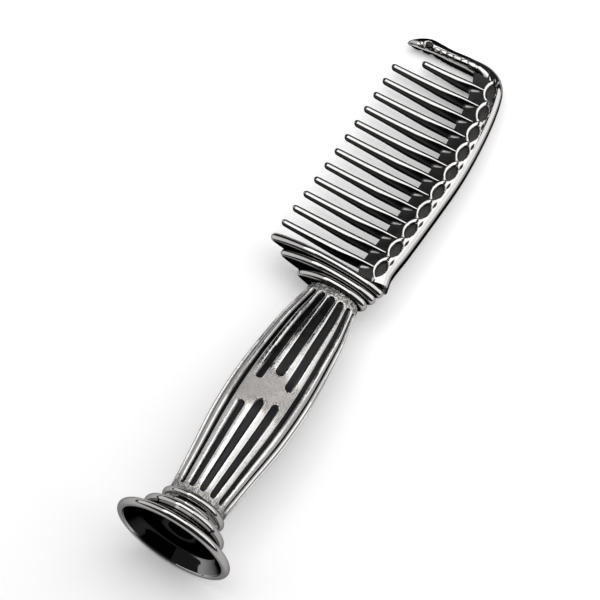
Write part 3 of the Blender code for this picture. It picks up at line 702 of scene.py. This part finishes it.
def bar_stations():
    # (middle, half-width, half-depth, squareness outside and inside, slope to the outside, reach up
    # the guard or None) along the spine and the guard
    stations = []
    corner_x = GUARD_X - SPINE_WIDTH
    for i in range(SPINE_ROWS + 1):
        x = head_start + (corner_x - head_start) * i / SPINE_ROWS
        middle = Vector((x, spine_outer_y(x) + SPINE_WIDTH / 2))
        slope = smooth_value(spine_slope_shares, i / SPINE_ROWS)
        power = SPINE_SQUARENESS + (SPINE_END_SQUARENESS - SPINE_SQUARENESS) * i / SPINE_ROWS
        stations.append((middle, SPINE_WIDTH / 2, SPINE_HALF_DEPTH, power, SPINE_SQUARENESS, slope, None))
    guard = []
    for i in range(GUARD_ROWS + 1):
        reach = guard_width_shares[0][0] + (1 - guard_width_shares[0][0]) * i / GUARD_ROWS
        middle = Vector((GUARD_X + smooth_value(guard_lean_shares, reach) * GUARD_WIDTH, reach * GUARD_REACH))
        half_width = smooth_value(guard_width_shares, reach) * GUARD_WIDTH / 2
        half_depth = smooth_value(guard_depth_shares, reach) * GUARD_HALF_DEPTH
        guard.append((middle, half_width, half_depth,
                      GUARD_SQUARENESS, GUARD_INNER_SQUARENESS, GUARD_SLOPE, reach))
    spine_end, guard_foot = stations[-1], guard[0]
    bend = Vector((guard_foot[0].x, spine_end[0].y + CORNER_RISE))
    for i in range(1, CORNER_ROWS):
        t = i / CORNER_ROWS
        middle = (1 - t) ** 2 * spine_end[0] + 2 * t * (1 - t) * bend + t * t * guard_foot[0]
        shape = [(1 - t) * before + t * after for before, after in zip(spine_end[1:6], guard_foot[1:6])]
        stations.append((middle, *shape, None))
    return stations + guard


def section_points(half_width, half_depth, power, inner_power, slope):
    # Front face from the outer edge to the inner one, inner wall, back face, outer wall
    edge = half_width * FACE_REACH_SHARE
    front = []
    for i in range(FACE_POINTS):
        across = edge * (2 * i / (FACE_POINTS - 1) - 1)
        side = inner_power if across > 0 else power
        front.append((across, half_depth * (1 - abs(across / half_width) ** side) ** (1 / side)))
    walls = []
    for side in (inner_power, power):
        edge_depth = half_depth * (1 - FACE_REACH_SHARE ** side) ** (1 / side)
        levels = [edge_depth * (1 - 2 * i / WALL_POINTS) for i in range(1, WALL_POINTS)]
        walls.append([(half_width * (1 - abs(up / half_depth) ** side) ** (1 / side), up) for up in levels])
    back = [(across, -up) for across, up in reversed(front)]
    ring = front + walls[0] + back + [(-across, -up) for across, up in walls[1]]
    return [(across, up * (1 - slope * (1 - across / half_width) / 2)) for across, up in ring]


def lens_inside(length, width, half_length, half_width):
    # How far a point lies inside a lens made of two arcs; below zero outside
    arc_radius = (half_length ** 2 + half_width ** 2) / (2 * half_width)
    return arc_radius - math.hypot(length, abs(width) + arc_radius - half_width)


def bezel(length, width, half_length, half_width, inner_rim, outer_rim, drop):
    # Height and blackening of a bezel with its pocket, at a point measured from the cell's middle.
    # The rim's top is level across the bar, wherever the face has dropped away under it.
    inside = lens_inside(length, width, half_length, half_width)
    if inside > 0:
        blackness = eased(inside / POCKET_WALL)
        return -POCKET_DEPTH * blackness, blackness
    climb = (length / half_length + 1) / 2
    rim_width = (inner_rim if width > 0 else outer_rim) * (BEZEL_START_SHARE + BEZEL_GROWTH * climb)
    outside = lens_inside(length - BEZEL_SHIFT, width,
                          half_length + rim_width * BEZEL_TIP_SHARE, half_width + rim_width)
    if outside <= 0:
        return 0.0, 0.0
    place = outside / (outside - inside)
    height = drop + BEZEL_LOW + (BEZEL_HIGH - BEZEL_LOW) * climb
    return height * (1 - abs(2 * place - 1) ** BEZEL_FLATNESS), 0.0


def bar_relief(spot, reach, drop):
    # Relief on the bar's faces, at a point (x, y) of the comb's plane where the face has dropped this
    # far under its middle
    if reach is not None:
        offset = spot - eye_middle.xy
        if offset.length < EYE_REACH:
            height, blackness = bezel(offset.y, -offset.x, EYE_HALF_LENGTH, EYE_HALF_WIDTH, EYE_RIM, EYE_RIM,
                                 min(drop, EYE_DROP))
            if height or blackness:
                return height, blackness
        for leaf_reach, aside, length, width in guard_leaf_shares:
            lean = smooth_value(guard_lean_shares, leaf_reach)
            leaf = Vector((GUARD_X + (lean - aside) * GUARD_WIDTH, leaf_reach * GUARD_REACH))
            offset = spot - leaf
            inside = lens_inside(offset.y, offset.x, length * GUARD_REACH, width * GUARD_WIDTH)
            if inside > 0:
                plateau = math.sqrt(min(1.0, inside / LEAF_EDGE))
                return max(0.0, min(drop, LEAF_DROP) + LEAF_HEIGHT + LEAF_TILT * offset.x) * plateau, 0.0
        return 0.0, 0.0
    height, blackness = 0.0, 0.0
    for middle, along in zip(chain_cells, cell_turns):
        offset = spot - middle.xy
        if abs(offset.x) > CELL_REACH:
            continue
        aside = Vector((-along.y, along.x))
        length, width = offset.dot(along), offset.dot(aside)
        cell_height, cell_sink = bezel(length, width, CELL_HALF_LENGTH, CELL_HALF_WIDTH,
                                       BEZEL_WIDTH, BEZEL_OUTER_WIDTH, drop)
        if cell_sink:
            return cell_height, cell_sink
        height = max(height, cell_height)
        tip = CELL_HALF_LENGTH + BEZEL_WIDTH - NICK_BACK
        inside = lens_inside(length - tip, width + NICK_ASIDE, NICK_HALF_LENGTH, NICK_HALF_WIDTH)
        inside = max(inside, lens_inside(length - tip, width, NICK_HALF_LENGTH * NICK_MIDDLE_SHARE,
                                         NICK_HALF_WIDTH * NICK_MIDDLE_SHARE))
        if inside > 0:
            nick = eased(inside / POCKET_WALL)
            height, blackness = min(height, -NICK_DEPTH * nick), max(blackness, nick)
    return height, blackness


def bar_skin(side, level, reach, height, blackness):
    # How black and how highlighted the bar is, at a share of its half-width towards the teeth and a share of
    # its half-depth upwards. This is painted light: the guard's inner wall has painted black bands and a
    # painted highlight line, its underside beside that wall and its face between the leaves are painted
    # shade, and the bar's outer wall is painted shade.
    rubbed = 0.0
    if reach is not None:
        if side > GUARD_WALL_START:
            groove = faded(abs(abs(level) - GUARD_GROOVE_LEVEL), *GUARD_GROOVE_FADE)
            blackness = max(blackness, groove, GUARD_WALL_BLACK * faded(abs(level), *GUARD_WALL_FADE))
            if level > 0:
                rubbed = faded(abs(level - GUARD_GLEAM_LEVEL), *GUARD_GLEAM_FADE)
        if side > GUARD_UNDERSIDE_START and level < 0:
            under = eased((side - GUARD_UNDERSIDE_START) * GUARD_UNDERSIDE_SHARPNESS)
            blackness = max(blackness, GUARD_UNDERSIDE_BLACK * under)
        if not height:
            blackness = max(blackness, faded(side, *LEAVES_SIDE_FADE) * faded(reach, *LEAVES_FOOT_FADE))
    if side < -OUTER_WALL_START:
        blackness = min(faded(level, *OUTER_WALL_TOP_FADE), faded(level, *OUTER_WALL_LOW_FADE))
    return blackness, rubbed


def capped(rows, first, last):
    # Closes both ends of a sheet of rows, with the same point or value all round
    return [[first] * len(rows[0])] + rows + [[last] * len(rows[-1])]


bar_rings, bar_recess, bar_rubbed = [], [], []
stations = bar_stations()
for station, along in zip(stations, directions([station[0] for station in stations])):
    middle, half_width, half_depth, power, inner_power, slope, reach = station
    aside = Vector((-along.y, along.x))
    # Each point's black (patina in the nicks, painted shade elsewhere) and its painted highlight
    ring, depth, point_highlights = [], [], []
    for across, up in section_points(half_width, half_depth, power, inner_power, slope):
        spot = middle + aside * across
        height, blackness = 0.0, 0.0
        if abs(across) < half_width * FACE_REACH_SHARE:
            height, blackness = bar_relief(spot, reach, max(0.0, half_depth * (1 - slope / 2) - abs(up)))
        face = 1 if up > 0 else -1
        ring.append(Vector((spot.x, spot.y, up + face * height)))
        blackness, rubbed = bar_skin(across / half_width, up / half_depth, reach, height, blackness)
        depth.append(blackness)
        point_highlights.append(rubbed)
    bar_rings.append(ring)
    bar_recess.append(depth)
    bar_rubbed.append(point_highlights)
bar_ends = [Vector((*station[0], 0.0)) for station in (stations[0], stations[-1])]
spine_bar = wrapped_piece("head_spine_and_guard", capped(bar_rings, *bar_ends), painted_shade_nickel,
                          recess=capped(bar_recess, 0.0, 0.0), rubbed=capped(bar_rubbed, 0.0, 0.0))
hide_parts("comb_head")


# Web between the tooth roots
# Cast with the spine: a wedge that thins towards the gaps between the teeth, with a rounded edge. It is
# painted nearly black as shade between the teeth, with a thin painted highlight line along each tooth.
WEB_WIDTH = 0.0041
WEB_EDGE_HALF_DEPTH = 0.0011
WEB_ROOT_HALF_DEPTH = 0.0031
WEB_HOLLOWNESS = 1.1
WEB_EDGE_ROLL = 0.0004
WEB_START_SHARE = 0.8
WEB_ROWS = 520
WEB_FACE_STEPS = 14
# Painted shade over the whole web, and a painted highlight line along each tooth
WEB_BLACK = 0.90
WEB_LINE_WIDTH = 0.0004
WEB_LINE_SHARE = 0.75
WEB_LINE_SHARPNESS = 6
WEB_GRAIN = 0.5
WEB_ROUGHNESS = 0.15
TOOTH_COUNT = 13
TOOTH_PITCH = 0.0060
FIRST_TOOTH_OFFSET = 0.0044
TOOTH_ROOT_WIDTH = 0.0026
TOOTH_ROOT_BITE = 0.0004
TOOTH_RIDGE_SHARE = 0.16
TOOTH_SWELL_POWER = 1.3


def web_edge_y(x):
    return spine_outer_y(x) + SPINE_WIDTH + WEB_WIDTH


def web_ring(x, root_y):
    edge_y = web_edge_y(max(x, head_start))
    front = []
    for i in range(WEB_FACE_STEPS + 1):
        share = i / WEB_FACE_STEPS
        y = root_y + share * (edge_y - WEB_EDGE_ROLL - root_y)
        rise = (1 - share) ** WEB_HOLLOWNESS
        depth = WEB_EDGE_HALF_DEPTH + rise * (WEB_ROOT_HALF_DEPTH - WEB_EDGE_HALF_DEPTH)
        front.append(Vector((x, y, depth)))
    for angle in (30, 60, 90):
        turn = math.radians(angle)
        front.append(Vector((x, edge_y - WEB_EDGE_ROLL + WEB_EDGE_ROLL * math.sin(turn),
                             WEB_EDGE_HALF_DEPTH - WEB_EDGE_ROLL + WEB_EDGE_ROLL * math.cos(turn))))
    return front + [Vector((point.x, point.y, -point.z)) for point in reversed(front)]


def tooth_swell(y, point_y, web_y):
    # Share of its full root width that a tooth has between the chain and the gap
    short = 1 - min(1.0, (y - point_y) / (web_y - point_y))
    return TOOTH_RIDGE_SHARE + (1 - TOOTH_RIDGE_SHARE) * (1 - short ** TOOTH_SWELL_POWER)


def web_highlight_line(x, y):
    # 1 on the thin painted highlight line where the web meets the next tooth's flank
    number = math.ceil((x - head_start - FIRST_TOOTH_OFFSET) / TOOTH_PITCH)
    tooth_x = head_start + FIRST_TOOTH_OFFSET + number * TOOTH_PITCH
    edge_y = web_edge_y(max(x, head_start))
    from_edge = (edge_y - y) / WEB_WIDTH
    if number < 0 or number >= TOOTH_COUNT or from_edge > 1:
        return 0.0
    point_y = edge_y - WEB_WIDTH - TOOTH_ROOT_BITE
    gap = tooth_x - x - TOOTH_ROOT_WIDTH / 2 * tooth_swell(y, point_y, edge_y)
    near_tooth = eased(2 - 2 * gap / WEB_LINE_WIDTH)
    return near_tooth * eased((WEB_LINE_SHARE - from_edge) * WEB_LINE_SHARPNESS)


web_start = flange_low.x + LARGE_PLATE_THICKNESS / 2
web_rings = []
for i in range(WEB_ROWS + 1):
    x = web_start + (GUARD_X - web_start) * i / WEB_ROWS
    web_rings.append(web_ring(x, spine_outer_y(max(x, head_start)) + SPINE_WIDTH * WEB_START_SHARE))
web_ends = [ring[0].lerp(ring[-1], 0.5) for ring in (web_rings[0], web_rings[-1])]
web_rings = capped(web_rings, *web_ends)
web_recess = [[WEB_BLACK] * len(ring) for ring in web_rings]
web_rubbed = [[web_highlight_line(point.x, point.y) for point in ring] for ring in web_rings]
web_nickel = nickel_finish("web_nickel", WEB_GRAIN, WEB_ROUGHNESS, blackened=True)
web = wrapped_piece("head_web", web_rings, web_nickel, recess=web_recess, rubbed=web_rubbed)
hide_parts("comb_head")


# Teeth
# Thirteen cast teeth. Each starts as a sharp ridge at the chain, swells to its full width at the gap
# and tapers to a round tip; the last one is short.
LOWEST_TOOTH = 7
TOOTH_REACH = 0.0254
TOOTH_TIP_BOW = 0.0011
SHORT_TOOTH_REACH = 0.0181
TOOTH_TIP_WIDTH = 0.0018
TOOTH_TIP_ROUNDING = 0.7
TOOTH_TIP_DEPTH_SHARE = 0.3
TOOTH_ROWS = 60
TOOTH_BACK_STEPS = 10
TOOTH_CROWN_STEPS = 4
TOOTH_FLANK_STEPS = 6
TOOTH_CROWN_TILT = 0.08
TOOTH_CROWN_LIMIT = 0.80
# Painted shade on the teeth's backs and flanks, fading at the round tips, and a painted highlight at the
# corner by the web
TOOTH_FLANK_BLACK = 1.0
TOOTH_LOW_FLANK_BLACK = 0.86
TOOTH_FLANK_FADE = (1.5, 2)
TOOTH_TIP_FADE = (-0.6, -2)
TOOTH_BACK_EDGE = -0.12
TOOTH_BACK_SOFTNESS = 0.2
TOOTH_CROWN_LEVEL = 0.93
TOOTH_CROWN_SOFTNESS = 0.15
TOOTH_CORNER_BACK = 0.0008
TOOTH_CORNER_REACH = 0.0012
TOOTH_CORNER_LEVEL = 0.6
TOOTH_CORNER_FADE = (3.6, 6)
LEAST_SIZE = 0.0001
tooth_half_depths = [(0.0, 0.00305), (0.18, 0.0029), (0.32, 0.00255), (0.5, 0.0021), (0.7, 0.0016),
                     (1.0, 0.0012)]
tooth_crown_widths = [(0.0, 0.00030), (0.18, 0.00045), (0.32, 0.00075), (0.45, 0.00095), (0.8, 0.00095),
                      (1.0, 0.0008)]
tooth_round_shares = [(0.0, 0.08), (0.4, 0.12), (0.85, 0.20), (1.0, 0.40)]


def roof_section(half_width, half_depth, crown, rounding):
    # A tooth's section: a round back on the head's side, a flat crown and a steep flank on the foot's
    # side, rounded over by a share
    front = []
    for i in range(TOOTH_BACK_STEPS + 1):
        turn = math.pi / 2 * i / TOOTH_BACK_STEPS
        front.append((math.cos(turn), math.sin(turn)))
    for i in range(1, TOOTH_CROWN_STEPS + 1):
        front.append((-crown * i / TOOTH_CROWN_STEPS, 1.0))
    for i in range(1, TOOTH_FLANK_STEPS + 1):
        share = i / TOOTH_FLANK_STEPS
        turn = math.pi / 2 * share
        across = share + rounding * (math.sin(turn) - share)
        front.append((-crown - (1 - crown) * across, 1 - share + rounding * (math.cos(turn) - 1 + share)))
    points = []
    for across, up in front + [(across, -up) for across, up in reversed(front[1:-1])]:
        lift = TOOTH_CROWN_TILT * up * abs(up) * across * half_width
        points.append((across * half_width, up * half_depth + lift))
    return points


def tooth_skin(side, level, roundness, corner):
    # How black and how highlighted a tooth is: its back and flanks are painted black as shade, its crown is
    # left bright, and the corner where the flank meets the web's edge carries a painted highlight
    low_share = faded(level, *TOOTH_FLANK_FADE)
    black = TOOTH_FLANK_BLACK + (TOOTH_LOW_FLANK_BLACK - TOOTH_FLANK_BLACK) * low_share
    beyond_crown = max((side - TOOTH_BACK_EDGE) / TOOTH_BACK_SOFTNESS,
                       (TOOTH_CROWN_LEVEL - level) / TOOTH_CROWN_SOFTNESS)
    black *= eased(beyond_crown) * faded(roundness, *TOOTH_TIP_FADE)
    if side >= 0:
        return black, 0.0
    if level < TOOTH_CORNER_LEVEL:
        black *= 1 - corner
    return black, corner * faded(level, *TOOTH_CORNER_FADE)


def tooth_rings(number):
    # Rings of one tooth from its point at the chain to its tip, with its painted shade and painted highlight
    x = head_start + FIRST_TOOTH_OFFSET + number * TOOTH_PITCH
    point_y = spine_outer_y(x) + SPINE_WIDTH - TOOTH_ROOT_BITE
    web_y = web_edge_y(x)
    tip_y = TOOTH_REACH + TOOTH_TIP_BOW * ((number - LOWEST_TOOTH) / LOWEST_TOOTH) ** 2
    if number == TOOTH_COUNT - 1:
        tip_y = SHORT_TOOTH_REACH
    round_start = tip_y - TOOTH_TIP_WIDTH * TOOTH_TIP_ROUNDING
    rings, blackening, tooth_painted_highlight = [], [], []
    for i in range(TOOTH_ROWS + 1):
        share = math.sin(math.pi / 2 * i / TOOTH_ROWS)
        y = point_y + share * (tip_y - point_y)
        taper = max(0.0, (y - web_y) / (tip_y - web_y))
        roundness = 1.0
        if y > round_start:
            roundness = math.sqrt(max(0.0, 1 - ((y - round_start) / (tip_y - round_start)) ** 2))
        width = TOOTH_ROOT_WIDTH + taper * (TOOTH_TIP_WIDTH - TOOTH_ROOT_WIDTH)
        width *= tooth_swell(y, point_y, web_y) * roundness
        half_depth = smooth_value(tooth_half_depths, share)
        if roundness > 0:
            half_depth *= TOOTH_TIP_DEPTH_SHARE + (1 - TOOTH_TIP_DEPTH_SHARE) * roundness
        else:
            half_depth = 0.0
        crown = 2 * smooth_value(tooth_crown_widths, share) * roundness / max(width, LEAST_SIZE)
        outline = roof_section(width / 2, half_depth, min(TOOTH_CROWN_LIMIT, crown),
                               smooth_value(tooth_round_shares, share))
        corner = max(0.0, 1 - abs(y + TOOTH_CORNER_BACK - web_y) / TOOTH_CORNER_REACH)
        skins = [tooth_skin(across / max(width / 2, LEAST_SIZE), abs(up) / max(half_depth, LEAST_SIZE),
                            roundness, corner) for across, up in outline]
        rings.append([Vector((x + across, y, up)) for across, up in outline])
        blackening.append([black for black, rubbed in skins])
        tooth_painted_highlight.append([rubbed for black, rubbed in skins])
    rings = capped(rings, Vector((x, point_y, 0.0)), Vector((x, tip_y, 0.0)))
    blackening = blackening[:1] + blackening + blackening[-1:]
    tooth_painted_highlight = tooth_painted_highlight[:1] + tooth_painted_highlight + tooth_painted_highlight[-1:]
    return rings, blackening, tooth_painted_highlight


for number in range(TOOTH_COUNT):
    rings, blackening, tooth_painted_highlight = tooth_rings(number)
    tooth = wrapped_piece(f"head_tooth_{number + 1:02d}", rings, painted_shade_nickel,
                          recess=blackening, rubbed=tooth_painted_highlight)
    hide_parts("comb_head")


# Tang of the head
# A short round stub that passes through the two loose plates and takes the rod's end.
TANG_RADIUS = 0.0025
TANG_LENGTH = 0.0110
TANG_CHAMFER = 0.0003
SOCKET_DEPTH = 0.0080
TANG_TURN_STEPS = 64
tang_start = flange_low.x - TANG_LENGTH
tang_end = flange_low.x + LARGE_PLATE_THICKNESS / 2
tang_outline = [
    (tang_start, rod_hole_radius),
    (tang_start, TANG_RADIUS - TANG_CHAMFER),
    (tang_start + TANG_CHAMFER, TANG_RADIUS),
    (tang_end, TANG_RADIUS),
    (tang_end, 0.0),
    (tang_start + SOCKET_DEPTH, 0.0),
    (tang_start + SOCKET_DEPTH, rod_hole_radius),
]
tang = turned_piece("head_tang", tang_outline, TANG_TURN_STEPS)
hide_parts("comb_head")


# Cell fillings and eyes
# Black enamel cushions sunk in the pockets of both faces, and the two small eyes of the guard.
ENAMEL_COLOUR = (0.006, 0.006, 0.006)
ENAMEL_CLOUD_COLOUR = (0.040, 0.039, 0.038)
ENAMEL_CLOUD_SCALE = 900.0
ENAMEL_ROUGHNESS = 0.30
ENAMEL_GLOSS = 0.14
ENAMEL_RELIEF_STRENGTH = 0.5
ENAMEL_RELIEF_HEIGHT = 0.0003
FILL_MARGIN = 0.00008
FILL_CROWN = 0.00025
FILL_BASE_DEPTH = 0.0007
FILL_RIM_DEPTH = 0.0004
FILL_RINGS = 9
FILL_COLUMNS = 48
EYE_FILL_RISE = 0.0001

black_enamel, enamel_tree, enamel_shader = new_finish("black_enamel")
enamel_clouds = mottling(enamel_tree, ENAMEL_CLOUD_SCALE, CLOUD_DETAIL)
enamel_colour = blended(enamel_tree, enamel_clouds, ENAMEL_COLOUR, ENAMEL_CLOUD_COLOUR)
plug(enamel_tree, enamel_shader, {"Base Color": enamel_colour, "Roughness": ENAMEL_ROUGHNESS,
                                  "Specular IOR Level": ENAMEL_GLOSS})
roughen(enamel_tree, enamel_shader, enamel_clouds, ENAMEL_RELIEF_STRENGTH, ENAMEL_RELIEF_HEIGHT)


def fill_rings(middle, along, half_length, half_width, base, rim):
    # A lens cushion from its flat base, up its side and over its crown to the middle
    aside = Vector((-along.y, along.x))
    outline = []
    for i in range(FILL_COLUMNS):
        turn = math.tau * i / FILL_COLUMNS
        length = math.cos(turn) * half_length
        arc_radius = (half_length ** 2 + half_width ** 2) / (2 * half_width)
        width = math.sqrt(max(0.0, arc_radius ** 2 - length ** 2)) - (arc_radius - half_width)
        outline.append(along * length + aside * math.copysign(width, math.sin(turn)))
    levels = [(0.0, base), (1.0, base), (1.0, rim)]
    for i in range(1, FILL_RINGS + 1):
        share = i / FILL_RINGS
        levels.append((1 - share, rim + FILL_CROWN * math.copysign(math.sqrt(1 - (1 - share) ** 2), rim)))
    rings = []
    for scale, up in levels:
        rings.append([Vector((middle.x + spot.x * scale, middle.y + spot.y * scale, up)) for spot in outline])
    return rings


cells = [(f"chain_inlay_{{}}_{i + 1:02d}", middle, along, CELL_HALF_LENGTH, CELL_HALF_WIDTH, SPINE_HALF_DEPTH)
         for i, (middle, along) in enumerate(zip(chain_cells, cell_turns))]
cells.append(("eye_inlay_{}", eye_middle, Vector((0.0, 1.0)), EYE_HALF_LENGTH, EYE_HALF_WIDTH,
              eye_high.z + EYE_FILL_RISE))
for pattern, middle, along, half_length, half_width, top in cells:
    for face_name, face in (("front", 1), ("back", -1)):
        node = pattern.format(face_name)
        rings = fill_rings(middle, along, half_length - FILL_MARGIN, half_width - FILL_MARGIN,
                           face * (top - FILL_BASE_DEPTH), face * (top - FILL_RIM_DEPTH))
        filling = wrapped_piece(node + "_cushion", rings, black_enamel, "inlay")
        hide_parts(node)


# Rod, washer and nut
# Plain steel hardware that clamps the stack, seen only by looking into the foot.
STEEL_COLOUR = (0.56, 0.56, 0.57)
STEEL_SHADE_COLOUR = (0.42, 0.42, 0.44)
STEEL_MARK_SCALE = 1200.0
STEEL_ROUGHNESS = (0.2, 0.4)

turned_steel, steel_tree, steel_shader = new_finish("turned_steel")
steel_marks = mottling(steel_tree, STEEL_MARK_SCALE)
steel_colour = blended(steel_tree, steel_marks, STEEL_SHADE_COLOUR, STEEL_COLOUR)
steel_wear = spread(steel_tree, steel_marks, 0.0, 1.0, *STEEL_ROUGHNESS)
plug(steel_tree, steel_shader, {"Metallic": 1.0, "Base Color": steel_colour, "Roughness": steel_wear})
for node in ("tie_rod", "clamp_washer", "clamp_nut"):
    frame["nodes"][node].data.materials.clear()
    frame["nodes"][node].data.materials.append(turned_steel)


# Floor
# White paper that the comb lies on. It looks white to the camera and in the metal, and it keeps the
# comb's soft shadow.
FLOOR_SIZE = 3.0
FLOOR_COLOUR = (0.80, 0.80, 0.802)
FLOOR_ROUGHNESS = 0.9
FLOOR_LIFT = 0.20
bpy.ops.object.select_all(action="DESELECT")
bpy.ops.mesh.primitive_plane_add(size=FLOOR_SIZE)
floor = bpy.context.object
floor.name = "floor"
white_paper, paper_tree, paper_shader = new_finish("white_paper")
ray = paper_tree.nodes.new("ShaderNodeLightPath")
seen = ray.outputs["Is Camera Ray"]
for kind in ("Is Glossy Ray", "Is Transmission Ray"):
    seen = reckoned(paper_tree, "MAXIMUM", seen, ray.outputs[kind])
lift = reckoned(paper_tree, "MULTIPLY", seen, FLOOR_LIFT)
plug(paper_tree, paper_shader, {"Base Color": FLOOR_COLOUR, "Roughness": FLOOR_ROUGHNESS,
                                "Specular IOR Level": 0.0, "Emission Color": (1.0, 1.0, 1.0),
                                "Emission Strength": lift})
floor.data.materials.append(white_paper)


# Lights
# A softbox over the comb and two tilted ones at its sides, in a dim room, placed where the
# reflections in the photograph show them.
ROOM_COLOUR = (0.04, 0.04, 0.04)
# Name, place, the point that it faces, width, height and radiance of each softbox
softboxes = [
    ("overhead_softbox", (0.35, 0.15, 1.0), (0.35, 0.15, 0.0), 1.0, 0.9, 2.8),
    ("left_softbox", (-0.09, 0.78, 0.67), (-0.09, -0.1, 0.15), 1.02, 1.25, 1.3),
    ("right_softbox", (0.625, -0.625, 0.55), (0.625, 0.27, -0.10), 1.35, 1.11, 2.15),
]
for name, place, aim, width, height, radiance in softboxes:
    data = bpy.data.lights.new(name, "AREA")
    data.shape = "RECTANGLE"
    data.size = width
    data.size_y = height
    data.energy = radiance * math.pi * width * height
    lamp = bpy.data.objects.new(name, data)
    bpy.context.scene.collection.objects.link(lamp)
    lamp.location = place
    lamp.rotation_euler = (Vector(aim) - Vector(place)).to_track_quat("-Z", "Y").to_euler()
world = bpy.data.worlds.new("dim_room")
world.use_nodes = True
plug(world.node_tree, world.node_tree.nodes["Background"], {"Color": ROOM_COLOUR, "Strength": 1.0})
bpy.context.scene.world = world


# Camera
# Above the foot's end, looking down along the comb, as in the photograph.
CAMERA_LENS = 138.63
CAMERA_SENSOR = 36.0
CAMERA_CLIP_START = 0.01
CAMERA_PLACE = (-0.19386, -0.12618, 0.61415)
CAMERA_RIGHT = (0.51056, -0.85871, 0.04404)
CAMERA_DOWN = (-0.7582, -0.47377, -0.44798)
CAMERA_LOOK = (0.40555, 0.19533, -0.89296)
camera_data = bpy.data.cameras.new("camera")
camera_data.lens = CAMERA_LENS
camera_data.sensor_width = CAMERA_SENSOR
camera_data.clip_start = CAMERA_CLIP_START
camera = bpy.data.objects.new("camera", camera_data)
bpy.context.scene.collection.objects.link(camera)
camera_axes = Matrix((Vector(CAMERA_RIGHT), -Vector(CAMERA_DOWN), -Vector(CAMERA_LOOK))).transposed()
camera.matrix_world = comb_place @ Matrix.Translation(CAMERA_PLACE) @ camera_axes.to_4x4()
bpy.context.scene.camera = camera
bpy.context.scene.view_settings.view_transform = "Standard"
